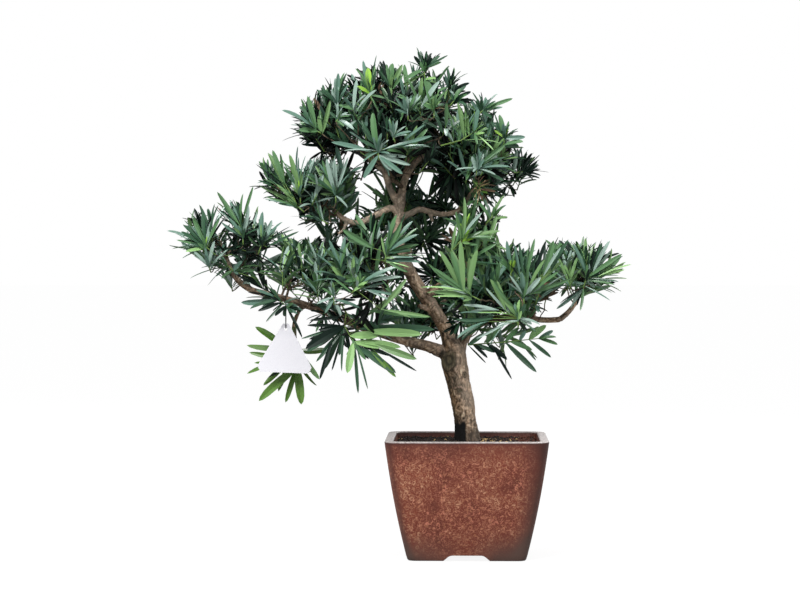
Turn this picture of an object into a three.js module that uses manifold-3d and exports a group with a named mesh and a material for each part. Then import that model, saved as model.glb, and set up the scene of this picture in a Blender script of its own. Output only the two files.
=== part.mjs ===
// A bonsai podocarpus in a square glazed pot, in millimetres, with +Z up.
// The trunk leans out over one side of the pot and carries pads of foliage on crooked boughs.
// Everything is first placed from a plumb line through the middle of the crown, with the pot
// standing off to its right, and the last lines move the finished plant so that its origin
// is the middle of the foot of its bounding box.

import * as THREE from 'three';
import { mergeVertices } from 'three/addons/utils/BufferGeometryUtils.js';
import Module from 'manifold-3d';

const wasm = await Module();
wasm.setup();

// ---------- driving dimensions ----------

const GAP = 0.3; // left between neighbours that touch on the real plant

const POT_OFFSET = 98; // from the crown's plumb line to the middle of the pot
const POT_HEIGHT = 173.5;
const POT_FOOT_HALF = 85.8; // half the width of the pot's underside
const POT_RIM_HALF = 118.4; // half the width of its rim
const POT_SIDE_BULGE = 2.7; // how far the sides swell out from straight, half way up
const POT_CORNER_FOOT = 12; // corner radius at the foot
const POT_CORNER_RIM = 24; // corner radius at the rim
const POT_WALL = 13;
const POT_FLOOR = 16;
const POT_RINGS = 6;
const CORNER_STEPS = 4;

const FOOT_NOTCH_LOW = 65; // width of the cut-out in the foot where it meets the ground
const FOOT_NOTCH_HIGH = 46; // width of the same cut-out at its top
const FOOT_NOTCH_HEIGHT = 7.5;

const DRAIN_RADIUS = 12; // hole in the middle of the pot's floor
const DRAIN_SIDES = 20;

const SOIL_TOP = 164;

const LIMB_SIDES = 7;
const LIMB_STEP = 32; // length of one ring of a limb, at most
const MASS_DETAIL = 2; // subdivisions of the icosahedron behind each mass

// ---------- finishes ----------

const finish = (colour, roughness) =>
  new THREE.MeshStandardMaterial({ color: new THREE.Color(colour), roughness, metalness: 0 });

const glaze = finish('#7a4436', 0.35);
const soilFinish = finish('#3b2a1f', 0.95);
const bark = finish('#8d705a', 0.9);
const boughBark = finish('#9c8066', 0.85);
const foliage = finish('#2f5f45', 0.6);
const youngFoliage = finish('#5e9a45', 0.6);
const tagCard = finish('#f1f0f4', 0.5);
const tieCoat = finish('#2b2a28', 0.6);

// ---------- solids and booleans ----------

// Gives a geometry's solid, with its doubled vertices merged.
function solidOf(geometry) {
  const bare = geometry.clone();
  bare.deleteAttribute('normal');
  bare.deleteAttribute('uv');
  const merged = mergeVertices(bare, 1e-4);
  const mesh = new wasm.Mesh({
    numProp: 3,
    vertProperties: new Float32Array(merged.attributes.position.array),
    triVerts: new Uint32Array(merged.index.array),
  });
  return new wasm.Manifold(mesh);
}

// Gives the geometry of the largest body of a solid, so that slivers left by a cut go.
function geometryOf(solid) {
  const bodies = solid.decompose();
  bodies.sort((a, b) => b.volume() - a.volume());
  const mesh = bodies[0].getMesh();
  const geometry = new THREE.BufferGeometry();
  geometry.setAttribute('position', new THREE.BufferAttribute(mesh.vertProperties, 3));
  geometry.setIndex(new THREE.BufferAttribute(mesh.triVerts, 1));
  geometry.computeVertexNormals();
  return geometry;
}

// Takes each of the cutters off a solid.
function cutBack(solid, cutters) {
  return cutters.reduce((left, cutter) => left.subtract(cutter), solid);
}

// ---------- pot and soil ----------

// Half the pot's width at a height, on the outside.
function potHalf(z) {
  const t = z / POT_HEIGHT;
  return POT_FOOT_HALF + (POT_RIM_HALF - POT_FOOT_HALF) * t + POT_SIDE_BULGE * 4 * t * (1 - t);
}

// One point of a square with round corners, counted round by its index.
function roundSquarePoint(index, half, corner) {
  const perCorner = CORNER_STEPS + 1;
  const quarter = Math.floor(index / perCorner) % 4;
  const angle = (quarter + (index % perCorner) / CORNER_STEPS) * (Math.PI / 2);
  const signX = quarter === 0 || quarter === 3 ? 1 : -1;
  const signY = quarter < 2 ? 1 : -1;
  return [
    signX * (half - corner) + corner * Math.cos(angle),
    signY * (half - corner) + corner * Math.sin(angle),
  ];
}

// A closed block of rounded-square section between two heights, inset from the pot's outside.
function potBlock(low, high, inset, rings) {
  const sides = 4 * (CORNER_STEPS + 1);
  const geometry = new THREE.CylinderGeometry(1, 1, 1, sides, rings);
  const place = geometry.attributes.position;
  for (let i = 0; i < place.count; i += 1) {
    const z = low + (high - low) * (place.getY(i) + 0.5);
    const reach = Math.hypot(place.getX(i), place.getZ(i));
    if (reach < 0.5) {
      place.setXYZ(i, 0, 0, z);
    } else {
      const turn = Math.atan2(place.getX(i), place.getZ(i)) / (2 * Math.PI);
      const index = Math.round((turn + 1) * sides) % sides;
      const corner = POT_CORNER_FOOT + (POT_CORNER_RIM - POT_CORNER_FOOT) * (z / POT_HEIGHT);
      const [x, y] = roundSquarePoint(index, potHalf(z) - inset, Math.max(corner - inset, 3));
      place.setXYZ(i, x, y, z);
    }
  }
  return solidOf(geometry);
}

// A bar of trapezoid section that runs right under the pot, to cut the notches in its foot.
function footNotch(alongX) {
  const outline = new THREE.Shape();
  const spare = 1;
  outline.moveTo(-FOOT_NOTCH_LOW / 2 - spare, -spare);
  outline.lineTo(FOOT_NOTCH_LOW / 2 + spare, -spare);
  outline.lineTo(FOOT_NOTCH_HIGH / 2, FOOT_NOTCH_HEIGHT);
  outline.lineTo(-FOOT_NOTCH_HIGH / 2, FOOT_NOTCH_HEIGHT);
  const length = 3 * POT_FOOT_HALF;
  const bar = new THREE.ExtrudeGeometry(outline, { depth: length, bevelEnabled: false });
  bar.translate(0, 0, -length / 2);
  bar.rotateX(Math.PI / 2);
  if (alongX) bar.rotateZ(Math.PI / 2);
  return solidOf(bar);
}

// A round bar through the pot's floor, for the hole that lets water out.
function drainBar() {
  const bar = new THREE.CylinderGeometry(DRAIN_RADIUS, DRAIN_RADIUS, 3 * POT_FLOOR, DRAIN_SIDES);
  bar.rotateX(Math.PI / 2);
  return solidOf(bar);
}

function makePot() {
  const outside = potBlock(0, POT_HEIGHT, 0, POT_RINGS);
  const hollow = potBlock(POT_FLOOR, POT_HEIGHT + 2, POT_WALL, POT_RINGS);
  const pot = cutBack(outside, [hollow, footNotch(false), footNotch(true), drainBar()]);
  return pot.translate([POT_OFFSET, 0, 0]);
}

function makeSoil() {
  const soil = potBlock(POT_FLOOR + GAP, SOIL_TOP, POT_WALL + GAP, POT_RINGS);
  return soil.translate([POT_OFFSET, 0, 0]);
}

// ---------- limbs ----------

// Reads a value along a limb's stations, with t from 0 at its root to 1 at its tip.
function radiusAt(stations, t) {
  const span = t * (stations.length - 1);
  const low = Math.min(Math.floor(span), stations.length - 2);
  const share = span - low;
  const ease = share * share * (3 - 2 * share);
  return stations[low][3] * (1 - ease) + stations[low + 1][3] * ease;
}

// The middle line of a limb.
function limbCurve(stations) {
  const points = stations.map(([x, y, z]) => new THREE.Vector3(x, y, z));
  return new THREE.CatmullRomCurve3(points, false, 'centripetal');
}

// A limb is a round section swept through its stations, each [x, y, z, radius].
// With spare above 0 it is that much fatter and longer, to cut its neighbours back from it.
function makeLimb(stations, spare = 0, sides = LIMB_SIDES) {
  const curve = limbCurve(stations);
  const steps = Math.max(stations.length - 1, Math.round(curve.getLength() / LIMB_STEP));
  const centres = [];
  const across = [];
  let side = new THREE.Vector3(0, 1, 0);
  for (let i = 0; i <= steps; i += 1) {
    const t = i / steps;
    const along = curve.getTangent(t);
    side = side.clone().addScaledVector(along, -side.dot(along)).normalize();
    const lengthened = i === 0 ? -spare : i === steps ? spare : 0;
    centres.push(curve.getPoint(t).addScaledVector(along, lengthened));
    across.push([side, new THREE.Vector3().crossVectors(along, side)]);
  }
  const geometry = new THREE.CylinderGeometry(1, 1, 1, sides, steps);
  const place = geometry.attributes.position;
  for (let i = 0; i < place.count; i += 1) {
    const t = place.getY(i) + 0.5;
    const ring = Math.round(t * steps);
    const radius = radiusAt(stations, t) + spare;
    const [sideways, up] = across[ring];
    const point = centres[ring].clone();
    point.addScaledVector(sideways, place.getZ(i) * radius);
    point.addScaledVector(up, place.getX(i) * radius);
    place.setXYZ(i, point.x, point.y, point.z);
  }
  return solidOf(geometry);
}

// The trunk leaves the soil on a flat cut, swells under its fork and then snakes to the top fork.
const TRUNK_SIDES = 12;
const TRUNK = [
  [100, 0, 154, 22],
  [96, 0, 186, 16.2],
  [92, 0, 218, 15.5],
  [86.5, 2, 248, 16.2],
  [80, 4, 277, 18.4],
  [79, 5, 301, 16],
  [66, 7, 333, 10.8],
  [44, 8, 368, 10],
  [21, 5, 403, 9.3],
  [3, -2, 442, 8],
  [-4, -6, 478, 7.2],
  [1.5, -5, 520, 6.4],
];

// Boughs start on the trunk's own middle line and are cut back to its bark.
const BOUGHS = {
  low_left_bough_inner: [
    [76, 4, 292, 9.5],
    [51, 0, 303, 8.3],
    [0, -10, 317, 7],
    [-50, -15, 333, 6.3],
    [-121, -10, 361, 5.5],
    [-178, -4, 378, 5],
    [-218, 2, 388, 4.8],
  ],
  low_left_bough_outer: [
    [-218, 2, 388, 4.8],
    [-234, 4, 398, 4.5],
    [-247, 7, 413, 4],
    [-256, 8, 434, 3.5],
    [-262, 8, 452, 3],
  ],
  low_right_bough_inner: [
    [88, 5, 294, 8],
    [94, 4, 316, 6.8],
    [117, -2, 339, 5.6],
    [162, -10, 349, 4.9],
    [214, -12, 345, 4.4],
    [234, -11, 346, 4.3],
  ],
  low_right_bough_outer: [
    [234, -11, 346, 4.3],
    [247, -8, 357, 3.9],
    [259, -4, 374, 3.3],
    [266, 0, 394, 2.7],
  ],
  mid_left_bough: [
    [-1, -6, 499, 5.6],
    [-12, -10, 509, 5.1],
    [-38, -18, 497, 4.7],
    [-62, -20, 487, 4.2],
    [-86, -14, 496, 3.7],
    [-108, -6, 518, 3],
  ],
  mid_right_bough: [
    [1, -5, 495, 5.2],
    [17, -10, 502, 4.6],
    [28, -12, 507, 4.3],
    [60, -11, 500, 3.9],
    [84, -3, 505, 3.5],
    [112, 8, 544, 3],
  ],
  top_left_stem: [
    [0, -5, 508, 5.6],
    [-16, -1, 541, 5],
    [-24, 4, 563, 4.5],
    [-46, 8, 582, 3.8],
    [-70, 10, 602, 3.2],
  ],
  top_right_stem: [
    [1.5, -5, 516, 6.2],
    [5, -3, 545, 5.6],
    [18, 1, 571, 5],
    [36, 5, 588, 4.3],
    [58, 8, 602, 3.6],
  ],
  front_bough: [
    [14, 2, 416, 7],
    [2, -30, 424, 5.4],
    [-22, -72, 432, 4],
  ],
  right_bough: [
    [36, 7, 380, 7],
    [62, -8, 396, 5.6],
    [96, -22, 404, 4.6],
    [130, -28, 402, 3.8],
  ],
  back_right_bough: [
    [52, 8, 356, 7],
    [62, 46, 372, 5.6],
    [84, 96, 392, 4.6],
    [104, 140, 404, 3.6],
  ],
  back_middle_bough: [
    [-4, -6, 474, 6],
    [-3, 34, 484, 4.6],
    [4, 78, 500, 3.6],
  ],
  low_left_twig: [
    [-140, -8, 366, 4],
    [-150, 18, 358, 3.2],
    [-160, 40, 334, 2.6],
  ],
  back_left_bough: [
    [6, -1, 436, 7],
    [-10, 38, 440, 5.6],
    [-48, 88, 446, 4.6],
    [-82, 124, 448, 3.6],
  ],
};

// ---------- masses of foliage ----------

// Numbers from 0 to 1 that are the same each time for one seed.
function seeded(seed) {
  let state = seed * 2654435761 % 4294967296;
  return () => {
    state = (state * 1664525 + 1013904223) % 4294967296;
    return state / 4294967296;
  };
}

// Directions of the lumps on a mass, spread evenly round it and then shaken by its seed.
function lumpDirections(count, random) {
  const golden = Math.PI * (3 - Math.sqrt(5));
  const found = [];
  for (let i = 0; i < count; i += 1) {
    const z = 1 - (2 * (i + 0.5)) / count + 0.3 * (random() - 0.5);
    const angle = i * golden + 0.9 * (random() - 0.5);
    const flat = Math.sqrt(Math.max(0, 1 - z * z));
    found.push(new THREE.Vector3(flat * Math.cos(angle), flat * Math.sin(angle), z).normalize());
  }
  return found;
}

const LUMPS = 13;
const LUMP_HEIGHT = 0.28; // of the mass's radius
const LUMP_SHARPNESS = 7;
const HOLLOW_BETWEEN_LUMPS = 0.84;

// A mass is an ellipsoid with a flatter underside and lumps where its shoots stand up.
// With spare above 0 it is that much fatter, to cut its neighbours back from it.
function makeMass({ centre, radii, under, seed }, spare = 0) {
  const lumps = lumpDirections(LUMPS, seeded(seed));
  const geometry = new THREE.IcosahedronGeometry(1, MASS_DETAIL);
  const place = geometry.attributes.position;
  const direction = new THREE.Vector3();
  for (let i = 0; i < place.count; i += 1) {
    direction.fromBufferAttribute(place, i).normalize();
    const swell = lumps.reduce(
      (most, lump) => Math.max(most, Math.exp(LUMP_SHARPNESS * (lump.dot(direction) - 1))),
      0,
    );
    const reach = HOLLOW_BETWEEN_LUMPS + LUMP_HEIGHT * swell;
    const tall = direction.z < 0 ? radii[2] * under : radii[2];
    place.setXYZ(
      i,
      centre[0] + direction.x * (radii[0] * reach + spare),
      centre[1] + direction.y * (radii[1] * reach + spare),
      centre[2] + direction.z * (tall * reach + spare),
    );
  }
  return solidOf(geometry);
}

// Each mass gives way to those above it in this list, and all give way to the wood.
const MASSES = {
  crown_top: { centre: [2, 0, 664], radii: [102, 96, 58], under: 0.9, seed: 3 },
  crown_tuft: { centre: [46, 0, 702], radii: [30, 36, 40], under: 1, seed: 43 },
  crown_left: { centre: [-86, 10, 626], radii: [78, 92, 66], under: 0.95, seed: 5 },
  crown_front: { centre: [-18, -96, 588], radii: [78, 78, 66], under: 0.9, seed: 7 },
  crown_right: { centre: [96, -6, 598], radii: [74, 94, 72], under: 1.05, seed: 9 },
  crown_back: { centre: [12, 106, 606], radii: [96, 82, 72], under: 0.9, seed: 11 },
  upper_right_pad: { centre: [150, 16, 556], radii: [66, 90, 46], under: 0.8, seed: 13 },
  upper_left_pad: { centre: [-140, 0, 540], radii: [84, 92, 62], under: 0.9, seed: 15 },
  outer_left_pad: { centre: [-250, 4, 462], radii: [88, 86, 62], under: 0.8, seed: 17 },
  inner_left_pad: { centre: [-156, -14, 404], radii: [80, 96, 62], under: 0.95, seed: 19 },
  front_pad: { centre: [-34, -104, 420], radii: [74, 72, 88], under: 1, seed: 21 },
  right_middle_pad: { centre: [104, -50, 468], radii: [62, 76, 50], under: 0.8, seed: 23 },
  right_inner_pad: { centre: [146, -24, 398], radii: [94, 102, 60], under: 1, seed: 25 },
  right_outer_pad: { centre: [259, 0, 416], radii: [78, 84, 48], under: 0.62, seed: 27 },
  back_left_pad: { centre: [-116, 132, 452], radii: [92, 76, 52], under: 0.9, seed: 29 },
  back_right_pad: { centre: [112, 134, 420], radii: [94, 78, 52], under: 0.9, seed: 31 },
  back_middle_pad: { centre: [4, 118, 510], radii: [80, 66, 52], under: 0.9, seed: 33 },
  back_low_pad: { centre: [32, 74, 352], radii: [64, 58, 38], under: 0.9, seed: 41 },
  low_middle_spray: { centre: [-50, -50, 306], radii: [80, 48, 44], under: 1.1, seed: 35 },
  low_left_spray: { centre: [-174, 58, 292], radii: [56, 46, 62], under: 1.1, seed: 37 },
  low_right_spray: { centre: [164, -22, 310], radii: [62, 60, 40], under: 1.05, seed: 39 },
};
const YOUNG_MASSES = ['low_middle_spray', 'low_left_spray'];

// ---------- tag on its tie ----------

const TAG_X = -168; // where along the low left bough the tie goes round it
const TAG_HALF_WIDTH = 40;
const TAG_HEIGHT = 72;
const TAG_THICK = 1;
const TAG_CLIP = 9; // how much of each pointed corner is cut off
const TAG_HOLE = 2.4; // radius of the hole near its top corner
const TAG_HOLE_DROP = 8; // from the top edge to the middle of the hole
const TAG_DROP = 36; // from the middle of the bough to the tag's top edge
const TAG_LEAN = 0.035; // radians
const TAG_ROOM = 4; // kept clear of leaves, beyond the tag's edges on both sides together
const TIE_THICK = 1.4;
const TIE_CLEARANCE = 0.5; // all round the bough, and in the tag's hole
const TIE_SIDES = 6;
const TIE_ARC_RINGS = 9; // rings of its half turn over the bough, and of the one in the hole

// Where a limb crosses a plane of that x: its middle and its radius there.
function limbAtX(stations, x) {
  const curve = limbCurve(stations);
  const samples = 400;
  let best = null;
  for (let i = 0; i <= samples; i += 1) {
    const point = curve.getPoint(i / samples);
    const off = Math.abs(point.x - x);
    if (best === null || off < best.off) {
      best = { off, point, radius: radiusAt(stations, i / samples) };
    }
  }
  return best;
}
const TAG_BOUGH = limbAtX(BOUGHS.low_left_bough_inner, TAG_X);
const TAG_TOP = TAG_BOUGH.point.z - TAG_DROP;

// The tag is a three-cornered card with its corners cut off, hung by a hole at its top.
function makeTag() {
  const outline = new THREE.Shape();
  outline.moveTo(-TAG_HALF_WIDTH + TAG_CLIP / 2, -TAG_HEIGHT);
  outline.lineTo(TAG_HALF_WIDTH - TAG_CLIP / 2, -TAG_HEIGHT);
  outline.lineTo(TAG_HALF_WIDTH, -TAG_HEIGHT + TAG_CLIP);
  outline.lineTo(TAG_CLIP / 2, 0);
  outline.lineTo(-TAG_CLIP / 2, 0);
  outline.lineTo(-TAG_HALF_WIDTH, -TAG_HEIGHT + TAG_CLIP);
  outline.closePath();
  const hole = new THREE.Path();
  hole.absarc(0, -TAG_HOLE_DROP, TAG_HOLE, 0, 2 * Math.PI, true);
  outline.holes.push(hole);
  const card = new THREE.ExtrudeGeometry(outline, {
    depth: TAG_THICK,
    bevelEnabled: false,
    curveSegments: 8,
  });
  card.translate(0, 0, -TAG_THICK / 2);
  card.rotateX(Math.PI / 2);
  card.translate(0, 0, TAG_HOLE_DROP);
  card.rotateY(TAG_LEAN);
  card.translate(TAG_X, TAG_BOUGH.point.y, TAG_TOP - TAG_HOLE_DROP);
  return solidOf(card);
}

// The middle line of the tie, once round from the bough's back: across and up from the bough.
function tieLine() {
  const over = TAG_BOUGH.radius + TIE_CLEARANCE + TIE_THICK / 2;
  const under = TAG_THICK / 2 + TIE_CLEARANCE + TIE_THICK / 2;
  const lowest = TAG_HOLE - TAG_DROP - TAG_HOLE_DROP - GAP - TIE_THICK / 2;
  const line = [];
  for (let i = 0; i < TIE_ARC_RINGS; i += 1) {
    const angle = (Math.PI * i) / (TIE_ARC_RINGS - 1);
    line.push([over * Math.cos(angle), over * Math.sin(angle)]);
  }
  for (let i = 0; i < TIE_ARC_RINGS; i += 1) {
    const angle = Math.PI * (1 + i / (TIE_ARC_RINGS - 1));
    line.push([under * Math.cos(angle), lowest + under * (1 + Math.sin(angle))]);
  }
  return line;
}

// The tie is a long loop of wire, over the bough and down through the tag's hole.
function makeTie() {
  const line = tieLine();
  const rings = line.length;
  const geometry = new THREE.TorusGeometry(1, 0.5, TIE_SIDES, rings);
  const place = geometry.attributes.position;
  for (let i = 0; i < place.count; i += 1) {
    const [x, y, z] = [place.getX(i), place.getY(i), place.getZ(i)];
    const ring = Math.round((Math.atan2(y, x) / (2 * Math.PI) + 1) * rings) % rings;
    const round = Math.atan2(z, Math.hypot(x, y) - 1);
    const before = line[(ring + rings - 1) % rings];
    const after = line[(ring + 1) % rings];
    const outward = new THREE.Vector2(after[1] - before[1], before[0] - after[0]).normalize();
    const reach = (TIE_THICK / 2) * Math.cos(round);
    place.setXYZ(
      i,
      TAG_X + (TIE_THICK / 2) * Math.sin(round),
      TAG_BOUGH.point.y + line[ring][0] + reach * outward.x,
      TAG_BOUGH.point.z + line[ring][1] + reach * outward.y,
    );
  }
  return solidOf(geometry);
}

// A block of that size with its middle at a point, to keep leaves off what hangs there.
function roomAt(point, size) {
  return solidOf(new THREE.BoxGeometry(...size).translate(...point));
}

// The room that the tag and its tie hang in.
function makeTagRoom() {
  const { y, z } = TAG_BOUGH.point;
  const around = 2 * (TAG_BOUGH.radius + TIE_CLEARANCE + TIE_THICK + GAP);
  const tieRoom = roomAt([TAG_X, y, z - TAG_DROP / 2], [3 * TIE_THICK, around, TAG_DROP + around]);
  const cardSize = [2 * TAG_HALF_WIDTH + TAG_ROOM, TAG_ROOM, TAG_HEIGHT + 2 * TAG_ROOM];
  const cardRoom = roomAt([TAG_X, y, TAG_TOP - TAG_HEIGHT / 2], cardSize);
  return tieRoom.add(cardRoom);
}

// The trunk is cut flat, level with the top of the soil.
function makeTrunk() {
  const below = potBlock(0, SOIL_TOP + GAP, 0, 1).translate([POT_OFFSET, 0, 0]);
  return makeLimb(TRUNK, 0, TRUNK_SIDES).subtract(below);
}

// ---------- assembly ----------

const plant = new THREE.Group();

function addPiece(name, solid, material) {
  const piece = new THREE.Mesh(geometryOf(solid), material);
  piece.name = name;
  plant.add(piece);
}

addPiece('pot', makePot(), glaze);
addPiece('soil', makeSoil(), soilFinish);
addPiece('trunk', makeTrunk(), bark);

const woodCutters = [makeLimb(TRUNK, GAP, TRUNK_SIDES)];
for (const [name, stations] of Object.entries(BOUGHS)) {
  addPiece(name, cutBack(makeLimb(stations), woodCutters), boughBark);
  woodCutters.push(makeLimb(stations, GAP));
}

const massCutters = [...woodCutters, makeTagRoom()];
for (const [name, mass] of Object.entries(MASSES)) {
  const material = YOUNG_MASSES.includes(name) ? youngFoliage : foliage;
  addPiece(name, cutBack(makeMass(mass), massCutters), material);
  massCutters.push(makeMass(mass, GAP));
}

addPiece('tag', makeTag(), tagCard);
addPiece('tag_tie', makeTie(), tieCoat);

// The origin is the middle of the foot of the whole plant's bounding box.
const box = new THREE.Box3().setFromObject(plant);
const middle = box.getCenter(new THREE.Vector3());
plant.position.set(-middle.x, -middle.y, -box.min.z);

export default plant;
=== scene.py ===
# %% [markdown]
# # A podocarpus bonsai in a square glazed pot
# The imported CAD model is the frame: every piece below is made in metres, at the place that the frame
# gives. The frame holds plain limbs and plain masses of foliage. This script puts barked wood, twigs
# and leaves where they are, and a glazed pot with soil round the foot of the trunk.

# %% The frame and its box
import math

import bmesh
import bpy
import numpy as np
from mathutils import Matrix, Vector, noise
from mathutils.bvhtree import BVHTree


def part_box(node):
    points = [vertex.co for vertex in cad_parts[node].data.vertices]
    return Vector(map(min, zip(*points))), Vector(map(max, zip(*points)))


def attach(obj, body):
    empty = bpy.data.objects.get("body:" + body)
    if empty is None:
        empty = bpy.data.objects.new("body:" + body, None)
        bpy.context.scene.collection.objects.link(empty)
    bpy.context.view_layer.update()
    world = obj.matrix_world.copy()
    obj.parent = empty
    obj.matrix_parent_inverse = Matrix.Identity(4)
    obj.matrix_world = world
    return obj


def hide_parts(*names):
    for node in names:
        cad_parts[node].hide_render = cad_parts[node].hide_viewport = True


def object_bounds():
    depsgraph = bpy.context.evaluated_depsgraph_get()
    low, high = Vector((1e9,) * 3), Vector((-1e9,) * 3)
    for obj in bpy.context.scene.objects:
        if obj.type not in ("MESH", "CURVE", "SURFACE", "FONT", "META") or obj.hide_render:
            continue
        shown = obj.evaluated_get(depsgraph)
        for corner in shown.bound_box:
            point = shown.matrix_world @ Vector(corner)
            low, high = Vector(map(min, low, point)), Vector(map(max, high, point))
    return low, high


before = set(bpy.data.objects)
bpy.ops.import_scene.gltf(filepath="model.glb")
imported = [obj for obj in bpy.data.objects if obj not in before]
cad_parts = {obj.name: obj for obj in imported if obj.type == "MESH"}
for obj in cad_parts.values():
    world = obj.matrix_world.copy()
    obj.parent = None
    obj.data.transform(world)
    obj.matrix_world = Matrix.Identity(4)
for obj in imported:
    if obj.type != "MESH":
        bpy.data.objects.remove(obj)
cad_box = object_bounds()
MM = 0.001
pot_low, pot_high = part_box("pot")
POT_X = (pot_low.x + pot_high.x) / 2
POT_Y = (pot_low.y + pot_high.y) / 2
print("frame:", len(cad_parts), "nodes, pot centred at", round(POT_X, 4), round(POT_Y, 4))

# %% [markdown]
# ## Camera
# A long lens, far back, keeps a bonsai's proportions. The camera stands level with the lower boughs,
# straight in front of the pot, and is turned a little so that the crown sits in the middle of the picture.

# %% Camera
CAMERA_DISTANCE = 3.7
CAMERA_HEIGHT = 0.433
CAMERA_TURN = 1.521
CAMERA_TILT = 1.036
SENSOR_WIDTH = 36.0
LENS = 113.3


def add_camera():
    """Adds the camera in front of the pot and makes it the scene's own."""
    data = bpy.data.cameras.new("camera")
    data.sensor_width = SENSOR_WIDTH
    data.lens = LENS
    data.clip_start = 0.05
    data.clip_end = 100.0
    camera = bpy.data.objects.new("camera", data)
    camera.location = (POT_X, POT_Y - CAMERA_DISTANCE, CAMERA_HEIGHT)
    camera.rotation_euler = (math.radians(90 - CAMERA_TILT), 0, math.radians(CAMERA_TURN))
    bpy.context.scene.collection.objects.link(camera)
    bpy.context.scene.camera = camera
    return camera


camera = add_camera()
print("camera:", [round(v, 3) for v in camera.location], "lens", LENS)

# %% [markdown]
# ## Colours and finishes
# Colours are written as a paint chart gives them, from 0 to 255, and a shader wants them linear. Each
# finish is one Principled shader. Noise and ramps drive its colour, roughness and bump where the real
# surface varies, and a number that is the same all over is set on the shader's own socket.


# %% Colour and finish helpers
def tone(red, green, blue):
    """An sRGB colour, each part 0 to 255, as a linear colour with full alpha."""
    parts = [value / 255 for value in (red, green, blue)]
    linear = [p / 12.92 if p <= 0.04045 else ((p + 0.055) / 1.055) ** 2.4 for p in parts]
    return (*linear, 1.0)


class Finish:
    """A material with one Principled shader, and short ways to add nodes to it."""

    def __init__(self, name, colour, roughness, **sockets):
        self.material = bpy.data.materials.new(name)
        self.material.use_nodes = True
        self.nodes, self.links = self.material.node_tree.nodes, self.material.node_tree.links
        self.shader = self.nodes["Principled BSDF"]
        for socket, value in {"Base_Color": colour, "Roughness": roughness, **sockets}.items():
            self.shader.inputs[socket.replace("_", " ")].default_value = value

    def feed(self, socket, value):
        """Links an output socket to an input, or sets the input to a number or a colour."""
        if isinstance(value, bpy.types.NodeSocket):
            self.links.new(value, socket)
        else:
            socket.default_value = value

    def node(self, kind, settings=None, **values):
        """Adds a node. A value is a number for an input, or an output socket to link to it."""
        made = self.nodes.new("ShaderNode" + kind)
        for key, value in (settings or {}).items():
            setattr(made, key, value)
        for key, value in values.items():
            self.feed(made.inputs[int(key[1:]) if key[1:].isdigit() else key.replace("_", " ")], value)
        return made

    def place(self, scale=(1, 1, 1), attribute=None):
        """Object coordinates, or a stored attribute's, scaled per axis."""
        if attribute:
            source = self.node("Attribute", {"attribute_name": attribute}).outputs["Vector"]
        else:
            source = self.node("TexCoord").outputs["Object"]
        return self.node("Mapping", Vector=source, Scale=scale).outputs["Vector"]

    def stored(self, name):
        """The number that the mesh stores under a name."""
        return self.node("Attribute", {"attribute_name": name}).outputs["Fac"]

    def cloud(self, place, scale, detail=2.0, output="Fac", **more):
        """Cloudy noise at a place."""
        return self.node("TexNoise", Vector=place, Scale=scale, Detail=detail, **more).outputs[output]

    def cells(self, place, scale):
        """How far a place is from the middle of its cell."""
        return self.node("TexVoronoi", {"feature": "F1"}, Vector=place, Scale=scale).outputs["Distance"]

    def reach(self, value, start, end):
        """0 where a value is at the start, 1 where it is at the end."""
        return self.node("MapRange", Value=value, From_Min=start, From_Max=end).outputs[0]

    def ramp(self, factor, *stops):
        """A colour ramp. Each stop is its position and its colour."""
        made = self.node("ValToRGB", Fac=factor)
        elements = made.color_ramp.elements
        while len(elements) < len(stops):
            elements.new(0.5)
        for element, (position, colour) in zip(elements, stops):
            element.position = position
            element.color = colour
        return made.outputs["Color"]

    def greys(self, factor, *stops):
        """A ramp of plain levels. Each stop is its position and its level."""
        return self.ramp(factor, *((position, (level, level, level, 1)) for position, level in stops))

    def mix(self, factor, first, second, blend="MIX"):
        """Two colours mixed by a factor."""
        made = self.node("Mix", {"data_type": "RGBA", "blend_type": blend})
        for index, value in ((0, factor), (6, first), (7, second)):
            self.feed(made.inputs[index], value)
        return made.outputs[2]

    def times(self, first, second, operation="MULTIPLY"):
        """The product of two numbers, or what another operation makes of them, kept between 0 and 1."""
        made = self.node("Math", {"operation": operation, "use_clamp": True}, _0=first, _1=second)
        return made.outputs[0]

    def drive(self, socket, source):
        """Links a source to one of the shader's sockets."""
        self.links.new(source, self.shader.inputs[socket])

    def bump(self, height, strength, distance):
        """Lays a bump under the shader's light."""
        made = self.node("Bump", Height=height, Strength=strength, Distance=distance)
        self.drive("Normal", made.outputs["Normal"])


print("finishes: helpers ready")

# %% [markdown]
# ## Studio
# A white room. Most light comes from above and from a large lamp in front, so that leaves shine on top and
# the inside of the crown stays dark. The floor is a wide disc that glows to the eye, like a light table:
# it melts into the white room behind it, and only a faint shadow shows where the pot stands.

# %% Studio light and floor
FLOOR_RADIUS = 40.0
FLOOR_GLOW = 0.89
SKY_ABOVE, SKY_LEVEL = 1.08, 0.2


def add_softbox(name, place, target, size, watts):
    """A square area lamp that faces a point."""
    data = bpy.data.lights.new(name, "AREA")
    data.shape = "SQUARE"
    data.size = size
    data.energy = watts
    lamp = bpy.data.objects.new(name, data)
    lamp.location = place
    aim = Vector(target) - Vector(place)
    lamp.rotation_euler = aim.to_track_quat("-Z", "Y").to_euler()
    bpy.context.scene.collection.objects.link(lamp)
    return lamp


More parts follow.
